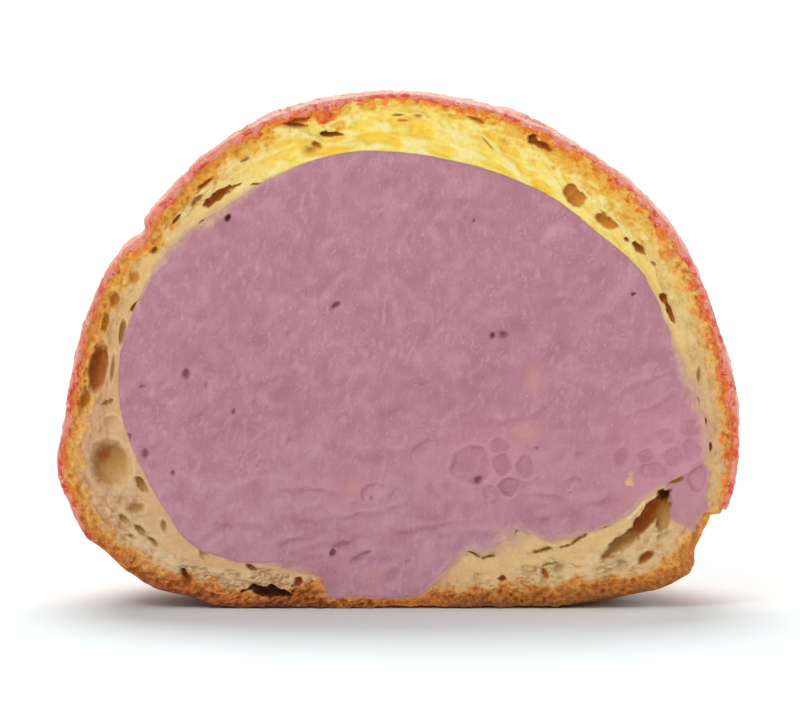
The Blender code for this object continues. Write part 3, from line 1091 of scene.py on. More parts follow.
# Flakes and rags of crumb that stand proud of the cut, over the gaps.
CHOUX_FLAKES = (
    Oval(-11.8, 52.5, 5.4, 1.5, 0.6, -16, edge=0.5, ragged=0.8),
    Oval(-9.6, 51.9, 2.8, 0.9, 0.6, -20, edge=0.5, ragged=1.2),
    Oval(-7.6, 51.5, 1.6, 0.6, 0.4, 10, edge=0.3),
    Oval(-5.6, 51.3, 3.4, 0.8, 0.35, 6, edge=0.2),
    Oval(-21.6, 46.2, 2.6, 0.5, 0.35, 38, edge=0.3),
    Oval(-23.4, 43.9, 2.4, 0.7, 0.3, 50, edge=0.3),
    Oval(21.8, 43.9, 1.4, 0.6, 0.3, -20, edge=0.3),
    Oval(24.2, 42.4, 2.2, 0.7, 0.3, -45, edge=0.3),
    Oval(27.0, 41.0, 1.6, 0.8, 0.3, -50, edge=0.3),
    Oval(26.0, 10.8, 5.0, 0.7, 0.3, 47, edge=0.3),
    Oval(28.6, 8.9, 4.4, 0.6, 0.3, 48, edge=0.3),
    Oval(-16.0, 3.1, 4.0, 0.5, 0.35, -8, edge=0.3),
)

# Patches of the crumb that are toasted, or deep orange, further in than the rest.
CHOUX_SCORCHES = (
    Oval(-11.2, 54.2, 3.8, 2.2, 0.4, 8, Tone.DARK, edge=0.3),
    Oval(-8.1, 54.4, 3.8, 2.4, 0.5, 8, Tone.DARK, edge=0.3),
    Oval(-12.9, 54.2, 1.2, 1.2, 0.3, 20, Tone.DARK, edge=0.3),
    Oval(-6.9, 53.2, 2.6, 1.4, 0.3, 0, Tone.OLIVE, edge=0.3),
    Oval(-14.2, 53.1, 1.6, 1.4, 0.3, edge=0.3),
    Oval(-17.6, 51.0, 2.4, 1.2, 0.3, 30, edge=0.3),
    Oval(12.3, 53.0, 1.8, 1.2, 0.3, -20, edge=0.3),
    Oval(17.7, 49.6, 2.8, 1.8, 0.3, -35, edge=0.3),
    Oval(20.6, 48.2, 2.6, 1.6, 0.3, -38, edge=0.3),
    Oval(6.2, 54.3, 3.4, 1.0, 0.2, -10, edge=0.3),
    Oval(11.4, 51.6, 2.6, 0.8, 0.2, -30, edge=0.3),
    Oval(-31.2, 36.3, 2.6, 2.2, 0.4, 60, edge=0.3),
)

# Thin-walled bubbles, partly in the cream and partly in the crumb.
HONEYCOMB = (
    # Low on the right, beside the tunnel.
    Cell(30.1, 16.8, 2.4, 2.2, 0.2, 0.8),
    Cell(32.2, 17.5, 2.4, 2.4, 0.2, 0.6),
    Cell(27.0, 16.9, 2.0, 1.5, 0.15, 0.9),
    Cell(27.9, 15.3, 3.4, 1.9, 0.15, 0.7),
    Cell(24.4, 16.7, 2.0, 2.2, 0.1, 0.6),
    Cell(32.7, 14.5, 2.1, 3.2, 0.35, 0.5),
    Cell(31.3, 12.6, 2.0, 2.2, 0.06, 0.3),
    Cell(31.0, 10.8, 2.4, 1.7, 0.1, 0.3),
    Cell(29.4, 19.2, 2.6, 1.9, 0.08, 0.3),
    Cell(31.9, 20.0, 2.4, 2.2, 0.08, 0.3),
    # Right of the middle.
    Cell(7.9, 15.9, 4.6, 4.2, 0.3),
    Cell(11.3, 15.9, 2.2, 2.6, 0.25),
    Cell(13.8, 15.7, 2.0, 2.8, 0.25),
    Cell(12.0, 13.5, 2.4, 2.0, 0.35),
    Cell(10.9, 18.0, 2.4, 1.8, 0.12),
    Cell(10.0, 12.9, 2.0, 1.6, 0.12),
)


@dataclass
class ChouxShell:
    """The choux bun: toasted skin, porous crumb and the smooth lining of its cavity."""

    form: BunForm
    finish: ChouxFinish = field(default_factory=ChouxFinish)
    columns: int = 1040
    outer_rows: int = 26
    rim_rows: int = 64
    cavity_rows: int = 4
    tuck: float = 0.35  # the lining runs on this far under the cream's edge
    toast_depth: Ring = field(
        default_factory=lambda: Ring(
            {0: 1.6, 15: 1.7, 30: 2.3, 45: 2.8, 60: 2.2, 75: 1.5, 90: 0.9, 105: 1.2, 118: 1.7,
             130: 1.9, 145: 1.8, 160: 2.0, 180: 2.4, 195: 2.0, 208: 2.5, 222: 2.8, 232: 2.4,
             239: 2.6, 242: 3.4, 244.5: 4.6, 247: 4.4, 249.5: 2.4, 272: 2.2, 280: 2.6, 290: 2.7, 305: 3.0,
             318: 3.1, 327: 3.1, 335: 2.2, 341: 1.0, 350: 1.2}  # fmt: skip
        )
    )
    darkness: Ring = field(
        default_factory=lambda: Ring(
            {0: 0.32, 30: 0.2, 45: 0.14, 60: 0.12, 90: 0.16, 110: 0.28, 125: 0.45, 150: 0.34,
             165: 0.4, 190: 0.38, 208: 0.5, 222: 0.66, 245: 0.7, 262: 0.62, 274: 0.48, 282: 0.66,
             300: 0.74, 320: 0.7, 330: 0.58, 341: 0.4}  # fmt: skip
        )
    )
    egginess: Ring = field(
        default_factory=lambda: Ring(
            {0: 0.15, 25: 0.45, 45: 0.85, 70: 1.0, 105: 1.0, 115: 0.9, 125: 0.6, 140: 0.35,
             150: 0.3, 165: 0.1, 200: 0.0, 240: 0.0, 300: 0.15, 330: 0.15}  # fmt: skip
        )
    )
    tanness: Ring = field(
        default_factory=lambda: Ring(
            {0: 0.6, 30: 0.35, 60: 0.1, 120: 0.15, 145: 0.5, 165: 0.75, 190: 0.65, 215: 0.4,
             240: 0.45, 270: 0.7, 300: 0.3, 330: 0.35, 345: 0.5}  # fmt: skip
        )
    )
    foam: Ring = field(
        default_factory=lambda: Ring(
            {0: 0.5, 40: 0.4, 75: 0.1, 115: 0.1, 140: 0.6, 180: 0.3, 205: 0.8, 225: 1.0, 240: 0.9,
             275: 0.4, 295: 0.8, 320: 0.9, 340: 0.4}  # fmt: skip
        )
    )
    membrane: Ring = field(
        default_factory=lambda: Ring(
            {0: 0.8, 30: 1.1, 60: 1.8, 120: 2.2, 150: 1.2, 180: 1.8, 200: 2.2, 215: 2.0, 228: 1.2,
             240: 0.8, 252: 0.1, 278: 0.1, 290: 2.4, 300: 4.2, 310: 4.6, 320: 4.0, 328: 2.6,
             336: 1.6, 345: 0.6}  # fmt: skip
        )
    )
    syrup: Ring = field(
        default_factory=lambda: Ring(
            {0: 0.9, 20: 0.8, 50: 0.6, 90: 0.65, 120: 0.55, 145: 0.5, 180: 0.55, 196: 0.5,
             203: 0.0, 341: 0.0, 350: 0.7}  # fmt: skip
        )
    )

    syrup_depth: Ring = field(
        default_factory=lambda: Ring({0: 2.2, 30: 3.0, 55: 2.2, 90: 1.6, 140: 2.0, 180: 1.8, 300: 2.0})
    )

    def build(self) -> bpy.types.Object:
        """Makes the shell's mesh and dresses it."""
        rows = self.outer_rows + self.rim_rows + self.cavity_rows
        bm = bmesh.new()
        bmesh.ops.create_uvsphere(bm, u_segments=self.columns, v_segments=rows, radius=1.0)
        paint = Paint(
            bm,
            "toast",
            "dark",
            "tan",
            "eggy",
            "yolk",
            "film",
            "hollow",
            "tone",
            "syrup",
            "cream_stain",
            "cream_film",
            "glow",
        )
        scorches = OvalField(CHOUX_SCORCHES, 0.6)
        hollows = OvalField(CHOUX_HOLLOWS, 0.3)
        flakes = OvalField(CHOUX_FLAKES, 0.7)
        honeycomb = Honeycomb(HONEYCOMB)
        for vert in bm.verts:
            angle, _ = polar(vert.co)
            row = round(math.acos(max(-1.0, min(1.0, vert.co.z))) / math.pi * rows)
            if row < self.outer_rows:
                self._place_skin(vert, paint, angle, row)
            elif row <= self.outer_rows + self.rim_rows:
                share = (row - self.outer_rows) / self.rim_rows
                self._place_rim(vert, paint, hollows, flakes, scorches, honeycomb, angle, share)
            else:
                share = 1.0 - (row - self.outer_rows - self.rim_rows) / self.cavity_rows
                vert.co = self.form.cavity_point(angle, share * 0.995, self.tuck)
                paint.set(vert, tan=0.5)
        bmesh.ops.recalc_face_normals(bm, faces=bm.faces)
        return finished("choux_bun", bm, self.finish.material())

    def _place_skin(self, vert: bmesh.types.BMVert, paint: Paint, angle: float, row: int) -> None:
        """Puts a vertex on the outside, with rows that close up towards the cut."""
        step = row / self.outer_rows
        share = blend(1 - (1 - step) ** 2, step, 0.18)
        point = self.form.choux_point(angle, share)
        bare = 1 - self.form.covered(point)
        bump = noise.fractal(point / (2.2 * MM), 1.0, 2.0, 3) * 0.22
        pore = smooth_step(0.15, 0.5, noise.noise(point / (0.9 * MM))) * 0.25
        base = smooth_step(0.2, 1.0, point.z / MM)
        point = self.form.moved_in(point, (bump + pore) * bare * base)
        from_cut = (point.y - self.form.cut_y) / MM
        if from_cut < 1.5:
            edge = section_relief(point.x / MM, point.z / MM)
            point.y = self.form.cut_y + blend(edge, 1.5, max(0.0, from_cut) / 1.5) * MM
        vert.co = point
        spot = 0.2 * noise.noise(point / (6 * MM))
        low = 1 - smooth_step(2.0, 9.0, point.z / MM)
        paint.set(vert, toast=1.0, dark=0.52 + 0.25 * low + spot)

    def _place_rim(
        self,
        vert: bmesh.types.BMVert,
        paint: Paint,
        hollows: OvalField,
        flakes: OvalField,
        scorches: OvalField,
        honeycomb: Honeycomb,
        angle: float,
        share: float,
    ) -> None:
        """Puts a vertex on the cut wall, sunk by pores, foam and folds.

        Args:
            vert: The vertex.
            paint: The mesh's painted numbers.
            hollows: The opened bubbles.
            flakes: What stands proud.
            scorches: Patches toasted deeper than the rest.
            honeycomb: The thin-walled bubbles.
            angle: Its angle round the face.
            share: 0 at the skin, 1 at the cavity.
        """
        form = self.form
        outside = form.choux_point(angle, 1.0)
        inside = form.cavity_point(angle, 1.0, self.tuck)
        point = outside.lerp(inside, share)
        x, z = point.x / MM, point.z / MM
        from_skin = (point - outside).length / MM
        from_cream = (point - inside).length / MM - self.tuck
        around = math.radians(angle) * 33.0

        toast_depth = self.toast_depth.at(angle)
        ragged = 0.8 * grain(x, z, 1.3, 5.0) + 0.5 * grain(x, z, 0.5, 6.0)
        ragged += 0.9 * noise.noise(Vector((around / 1.6, 8.8, from_skin / 0.5)))
        scorch = scorches.at(x, z)
        toast = 1 - smooth_step(toast_depth - 1.2, toast_depth + 1.0, from_skin + ragged)
        toast = max(toast, 0.85 * scorch.openness)
        reach = self.membrane.at(angle) * (1 + 0.5 * grain(x, z, 2.6, 7.0))
        membrane = smooth_step(reach + 0.35, reach - 0.35, from_cream) * (1 - toast)
        stain, film = self._cream_stain(x, z, angle, from_cream)
        plain = 1 - smooth_step(0.3, 0.7, stain)
        crumb = (1 - membrane) * plain

        coarse, small = grain(x, z, 0.8, 8.0), grain(x, z, 0.42, 14.0)
        pores = smooth_step(0.1, 0.45, grain(x, z, 0.5, 15.0)) * (0.35 + 0.65 * toast) * crumb
        heel = smooth_step(0.42, 0.6, self.darkness.at(angle)) * toast
        crumbs = heel * (noise.noise(Vector((around / 0.42, 3.3, from_skin / 0.42))) + 0.6 * small)
        first, second = cells(around / 1.0 + coarse, from_skin / 0.6 + 0.9 * small, 1.0, 1.0)
        foam = self.foam.at(angle) * crumb * (1 - 0.8 * toast)
        cell = smooth_step(0.05, 0.35, second - first)
        cell *= smooth_step(-0.25, 0.15, grain(x, z, 2.2, 9.0))
        eggy = self.egginess.at(angle)
        stretch = self._fold(around, from_skin)
        fold = smooth_step(-0.15, 0.5, stretch) * eggy * (1 - toast)
        ridge = smooth_step(0.0, -0.6, stretch) * eggy * (1 - toast)

        dip = hollows.at(x, z)
        flake = flakes.at(x, z)
        bubble = honeycomb.at(x, z)
        clear = 1 - dip.openness
        sunk = 0.16 + 0.2 * coarse * crumb + 0.14 * small * crumb + 0.35 * pores * clear
        sunk += (0.3 * foam * cell + 0.45 * fold - 0.1 * ridge) * clear * plain
        sunk += 0.15 * grain(x, z, 3.0, 11.0) - 0.1 * dip.lip + dip.depth - 0.14 * crumbs
        sunk += (bubble.depth - 0.08 * bubble.lip) * (1 - plain)
        sunk = max(-0.1, sunk) - flake.depth * clear
        flush = smooth_step(0.6, 0.0, from_cream)
        sunk = blend(sunk, 0.12 + dip.depth, flush) + 2.5 * max(0.0, -0.05 - from_cream)
        sunk = blend(section_relief(x, z) + 0.05 + dip.depth, sunk, smooth_step(0.0, 0.7, from_skin))
        point.y += sunk * MM
        vert.co = point

        # A hollow's lit side takes less of the hollow colour, as painted light.
        hollow = dip.openness * (1 - max(0.0, dip.glow))
        # Foam cells and toasted pores are darkened with the hollow colour: painted shade in small pits.
        hollow = max(hollow, 0.38 * foam * cell * clear, 0.3 * pores * clear * toast * (1 - eggy))
        tone = dip.tone if dip.openness > 0.3 else blend(0.37, blend(0.78, 0.1, eggy), toast)
        skin = smooth_step(0.9, 0.0, from_skin) * smooth_step(0.5, 0.8, self.darkness.at(angle))
        dark = self.darkness.at(angle) * (1.15 - 0.5 * smooth_step(0.0, toast_depth, from_skin))
        dark = dark * (0.4 + 0.6 * toast) + 0.2 * skin + 0.1 * (coarse + small) - 0.26 * crumbs
        # Ridges of the folds are painted pale: painted highlight. Lips, foam walls and flakes are the
        # crumb's pale film.
        pale = max(0.2 * dip.lip * (1 - toast), 0.4 * foam * (1 - cell), 0.5 * ridge)
        pale = max(pale, (0.6 - 0.3 * eggy) * flake.openness)
        syrup = self.syrup.at(angle) * smooth_step(self.syrup_depth.at(angle), 0.0, from_skin)
        paint.set(
            vert,
            toast=toast * (1 - flake.openness),
            dark=dark,
            tan=self.tanness.at(angle) + 0.3 * (1 - membrane),
            eggy=eggy,
            yolk=max(0.75 * fold * smooth_step(0.5, 2.5, from_skin), 0.4 * flake.openness) * eggy**2,
            film=pale,
            hollow=hollow,
            tone=tone,
            syrup=max(syrup, scorch.openness * smooth_step(0.6, 0.9, scorch.tone)) * (1 - hollow),
            cream_stain=stain * clear,
            cream_film=max(0.5 * bubble.lip, film),
            glow=dip.glow,
        )

    @staticmethod
    def _cream_stain(x: float, z: float, angle: float, from_cream: float) -> tuple[float, float]:
        """How far the crumb is smeared with cream, and how light that is, 0 to 1 each."""
        wander = 0.5 * grain(x, z, 2.0, 16.0) + 0.3 * grain(x, z, 0.7, 17.0)
        arm_share = cream_arm(x, z)
        blur = CREAM_BLUR.at(angle) * (1 + wander)
        edge = 0.5 * smooth_step(blur, 0.0, from_cream)
        return max(arm_share, edge), 0.5 * arm_share * smooth_step(0.0, 0.4, wander)

    @staticmethod
    def _fold(around: float, from_skin: float) -> float:
        """Height of the tangential folds of stretched crumb, about -0.7 to 0.7."""
        sheared = from_skin + 0.12 * around
        warp = 0.5 * noise.noise(Vector((around / 1.8, 6.6, from_skin / 1.8)))
        wide = noise.noise(Vector((around / 3.2 + warp, 1.7, sheared / 0.95 + warp)))
        narrow = noise.noise(Vector((around / 1.4, 4.2, sheared / 0.45)))
        return wide + 0.35 * narrow


# ------------------------------------------------------------------ craquelin crust


@dataclass
class CraquelinCrust:
    """The thin sugar crust over the dome, crackled and ragged at its lower edge."""

    form: BunForm
    finish: CraquelinFinish = field(default_factory=CraquelinFinish)
    squares: int = 290
    lining_squares: int = 90
    lining_reach: float = 0.984  # as a share of the way to the cut
    section_rows: int = 7
    overlap: float = 0.3  # the section runs on behind the choux by this much
    plate_size: float = 8.5
    crack_width: float = 0.07  # as a share of a plate
    crack_depth: float = 0.75
    blush_reach: float = 2.4  # how far behind the cut the outside is redder

    def build(self) -> bpy.types.Object:
        """Makes the crust's mesh and dresses it."""
        bm = bmesh.new()
        paint = Paint(bm, "inside", "crack")
        for vert in disc_mesh(bm, self.squares):
            angle, share = polar(vert.co)
            self._place_outside(vert, paint, angle, share)
        self._trim(bm, bm.verts[:] + bm.edges[:] + bm.faces[:])
        rim = [edge for edge in bm.edges if edge.is_boundary]
        for row in range(1, self.section_rows + 1):
            made = bmesh.ops.extrude_edge_only(bm, edges=rim)["geom"]
            rim = [e for e in made if isinstance(e, bmesh.types.BMEdge) and e.is_boundary]
            for vert in {v for edge in rim for v in edge.verts}:
                self._place_section(vert, paint, row)
        self._add_lining(bm)
        bmesh.ops.recalc_face_normals(bm, faces=bm.faces)
        return finished("craquelin", bm, self.finish.material())

    def _place_outside(self, vert: bmesh.types.BMVert, paint: Paint, angle: float, share: float) -> None:
        """Puts a vertex on the outside, with plates, cracks and sugar lumps."""
        point = self.form.outer_point(angle, share)
        from_cut = (point.y - self.form.cut_y) / MM
        warp = 0.35 * noise.noise_vector(point / (4.0 * MM))
        distances, _ = noise.voronoi(point / (self.plate_size * MM) + warp)
        crack = smooth_step(self.crack_width * 1.7, self.crack_width * 0.5, distances[1] - distances[0])
        crack *= smooth_step(0.6, 2.5, from_cut) * smooth_step(-0.3, 0.15, noise.noise(point / (11 * MM)))
        lump = noise.fractal(point / (2.4 * MM), 1.0, 2.0, 3) * 0.2
        seed = noise.noise(point / (0.75 * MM)) * 0.16
        vert.co = self.form.moved_in(point, self.crack_depth * crack + lump + seed + 0.12)
        steep = smooth_step(0.3, 0.75, abs(math.cos(math.radians(angle))))
        blush = smooth_step(self.blush_reach, 0.2, from_cut) * blend(0.1, 0.45, steep)
        paint.set(vert, crack=crack, inside=blush)

    def _trim(self, bm: bmesh.types.BMesh, geometry: list) -> None:
        """Cuts a sheet off along the crust's lower edge.

        The edge's wave is taken out of the sheet, a level plane cuts it, and the wave
        is put back.

        Args:
            bm: The mesh.
            geometry: The sheet's vertices, edges and faces.
        """
        for vert in (g for g in geometry if isinstance(g, bmesh.types.BMVert)):
            vert.co.z -= self._ragged_edge(vert.co)
        cut = bmesh.ops.bisect_plane(
            bm,
            geom=geometry,
            dist=0.05 * MM,
            plane_co=(0, 0, 0),
            plane_no=(0, 0, 1),
            clear_inner=True,
        )
        for vert in (g for g in cut["geom"] if isinstance(g, bmesh.types.BMVert) and g.is_valid):
            vert.co.z += self._ragged_edge(vert.co)

    def _ragged_edge(self, point: Vector) -> float:
        """Height of the lower edge in metres, with its small tears, which x and y set."""
        flat = Vector((point.x, point.y, 0.0))
        tear = noise.noise(flat / (1.6 * MM)) * 0.5 + noise.noise(flat / (0.6 * MM)) * 0.3
        spike = math.exp(-(((point.x / MM + 34.4) / 0.6) ** 2))
        spike *= smooth_step(1.5, 0.2, (point.y - self.form.cut_y) / MM)
        return self.form.edge_height(flat) + (tear - 1.4 * spike) * MM

    def _place_section(self, vert: bmesh.types.BMVert, paint: Paint, row: int) -> None:
        """Moves a vertex of the crust's edge one row further in."""
        share = row / (self.section_rows - 1)
        co = vert.co
        angle = math.degrees(math.atan2(co.z - self.form.middle_height * MM, co.x))
        uneven = 1 + 0.5 * grain(co.x / MM, co.z / MM, 1.5, 52.0)
        step = CRUST_THICKNESS.at(angle) * uneven / (self.section_rows - 1)
        hidden = row == self.section_rows
        moved = self.form.moved_in(co, self.overlap if hidden else step)
        if moved.y < self.form.cut_y + 1.2 * MM:
            x, z = moved.x / MM, moved.z / MM
            relief = section_relief(x, z) * smooth_step(0.0, 0.3, share)
            dive = smooth_step(0.45, 1.0, share + 0.35 * grain(x, z, 0.9, 53.0))
            moved.y = self.form.cut_y + (0.9 if hidden else relief + 0.2 * dive) * MM
        vert.co = moved
        paint.set(vert, inside=blend(0.4, 1.0, min(1.0, share)), crack=0.0)

    def _add_lining(self, bm: bmesh.types.BMesh) -> None:
        """Closes the crust with a plain inner sheet, joined to its section."""
        sheet = disc_mesh(bm, self.lining_squares)
        for vert in sheet:
            angle, share = polar(vert.co)
            point = self.form.outer_point(angle, share * self.lining_reach)
            vert.co = self.form.moved_in(point, CRUST_THICKNESS.at(angle))
        members = set(sheet)
        edges = [e for e in bm.edges if e.verts[0] in members]
        faces = [f for f in bm.faces if f.verts[0] in members]
        self._trim(bm, sheet + edges + faces)
        bmesh.ops.bridge_loops(bm, edges=[e for e in bm.edges if e.is_boundary])


# -------------------------------------------------------------------- cream filling


CREAM_HOLLOWS = (
    # Bubbles that the cut has opened.
    Oval(-18.9, 43.2, 0.7, 1.0, 1.0, -30, Tone.DARK, 0.4),
    Oval(-7.0, 33.6, 1.7, 0.65, 0.5, 33, Tone.BROWN, 0.4),
    Oval(-23.5, 26.0, 1.0, 1.6, 0.5, 0, Tone.BROWN, 0.3),
    Oval(-21.3, 24.6, 0.7, 1.1, 0.3, 0, Tone.OLIVE, 0.3),
    Oval(-28.4, 24.6, 0.7, 0.3, 0.4, 0, Tone.BROWN),
    Oval(-29.8, 19.0, 0.4, 0.9, 0.5, 10, Tone.DARK),
    Oval(-28.0, 17.2, 0.8, 1.3, 0.4, 0, Tone.BROWN, 0.3),
    Oval(-18.3, 21.8, 0.4, 0.7, 0.4, 0, Tone.BROWN),
    Oval(-25.0, 15.0, 0.4, 0.7, 0.3, 0, Tone.BROWN),
    Oval(10.2, 30.2, 0.8, 0.9, 0.5, 20, Tone.BROWN, 0.4),
    Oval(11.4, 30.3, 1.4, 0.9, 0.4, 0, Tone.BROWN, 0.3),
    Oval(8.1, 42.9, 0.3, 0.3, 0.4, 0, Tone.DARK),
    Oval(7.4, 43.2, 1.0, 0.7, 0.2, 0, Tone.OLIVE, 0.1),
    Oval(25.7, 34.8, 0.7, 0.4, 0.4, 20, Tone.BROWN),
    Oval(-7.4, 6.2, 1.1, 0.9, 0.5, 50, Tone.BROWN, 0.5),
    Oval(-6.4, 6.9, 2.4, 1.0, 0.35, 12, Tone.OLIVE, 0.4),
    Oval(-4.4, 5.6, 3.0, 1.2, 0.4, 32, Tone.OLIVE, 0.3),
    Oval(-3.6, 6.2, 1.2, 0.4, 0.3, 20, Tone.BROWN, 0.3),
    Oval(0.9, 5.2, 0.8, 0.5, 0.2, 0, Tone.OLIVE, 0.3),
    Oval(12.9, 8.4, 0.35, 0.7, 0.5, 0, Tone.DARK),
    Oval(7.5, 18.5, 0.28, 0.28, 0.4, 0, Tone.DARK),
    Oval(11.8, 12.8, 0.25, 0.25, 0.4, 0, Tone.DARK),
    Oval(18.8, 12.8, 0.25, 0.25, 0.4, 0, Tone.DARK),
    Oval(8.6, 14.2, 0.9, 1.4, 0.5, -35, Tone.BROWN, 0.2),
    Oval(-2.8, 12.9, 3.0, 2.1, 0.3, 0, Tone.OLIVE, 0.6),
    Oval(-4.0, 12.7, 0.7, 2.0, 0.35, 5, Tone.OLIVE, 0.1),
    Oval(-3.1, 12.3, 0.7, 0.8, 0.3, 0, Tone.BROWN, 0.1),
    # Dents.
    Oval(-12.6, 31.9, 1.1, 0.8, 0.2, 0, Tone.OLIVE, 0.1),
    Oval(-16.7, 35.7, 0.9, 1.4, 0.2, 0, Tone.OLIVE, 0.1),
    Oval(-12.2, 30.4, 0.9, 1.1, 0.25, 20, Tone.OLIVE, 0.1),
    Oval(-17.9, 25.2, 2.0, 1.3, 0.25, 30, Tone.OLIVE, 0.2),
    Oval(-13.2, 25.2, 2.4, 1.4, 0.3, 15, Tone.OLIVE, 0.3),
    Oval(-16.0, 22.7, 1.3, 1.1, 0.2, 50, Tone.OLIVE, 0.2),
    Oval(15.2, 35.4, 4.4, 1.2, 0.2, 10, Tone.OLIVE, 0.0),
    Oval(16.0, 40.0, 0.9, 0.6, 0.2, 20, Tone.OLIVE, 0.2),
    Oval(-21.5, 15.0, 2.0, 1.5, 0.2, 0, Tone.OLIVE, 0.4),
    Oval(-10.6, 14.6, 2.2, 2.0, 0.15, 0, Tone.OLIVE, 0.3),
    Oval(19.2, 13.9, 2.1, 1.6, 0.25, 0, Tone.OLIVE, 0.5),
    Oval(19.7, 16.9, 1.3, 1.1, 0.25, 0, Tone.OLIVE, 0.4),
    Oval(15.1, 17.8, 0.5, 0.5, 0.3, 0, Tone.BROWN, 0.3),
    Oval(15.9, 9.6, 1.0, 1.2, 0.2, 30, Tone.OLIVE, 0.3),
)

CREAM_CREASES = (
    Crease(7.0, 20.2, 18.0, 22.6, 0.6, 0.7, 0.3),
    Crease(21.6, 22.0, 31.0, 26.4, -0.3, 0.5, 0.28),
    Crease(23.8, 20.9, 31.5, 24.2, 0.4, 0.5, 0.25),
    Crease(31.6, 22.5, 31.9, 28.0, 0.0, 0.4, 0.3),
    Crease(-2.5, 16.6, 4.0, 19.0, 0.3, 0.6, 0.25),
    Crease(-3.0, 21.6, 2.0, 22.4, 0.3, 0.6, 0.15),
    Crease(12.0, 12.3, 19.6, 11.5, -0.5, 0.4, 0.2),
    Crease(-14.5, 12.6, -6.5, 12.4, -0.6, 0.5, 0.2),
    Crease(-22.0, 9.6, -14.0, 9.0, 0.4, 0.5, 0.2),
    Crease(-12.0, 9.8, -2.0, 10.6, 0.5, 0.5, 0.2),
    Crease(-1.5, 8.2, 8.5, 10.2, 0.4, 0.6, 0.22),
    Crease(-14.0, 6.8, -8.0, 8.6, 0.3, 0.5, 0.2),
    Crease(3.0, 13.4, 6.4, 11.0, 0.3, 0.5, 0.2),
    Crease(14.0, 9.6, 24.0, 12.8, 0.6, 0.6, 0.2),
    Crease(-25.0, 19.4, -20.6, 22.8, 0.3, 0.5, 0.15),
    Crease(9.5, 34.0, 18.5, 36.6, 0.4, 0.7, 0.14),
    Crease(-16.0, 17.2, -10.0, 19.6, 0.3, 0.5, 0.15),
)


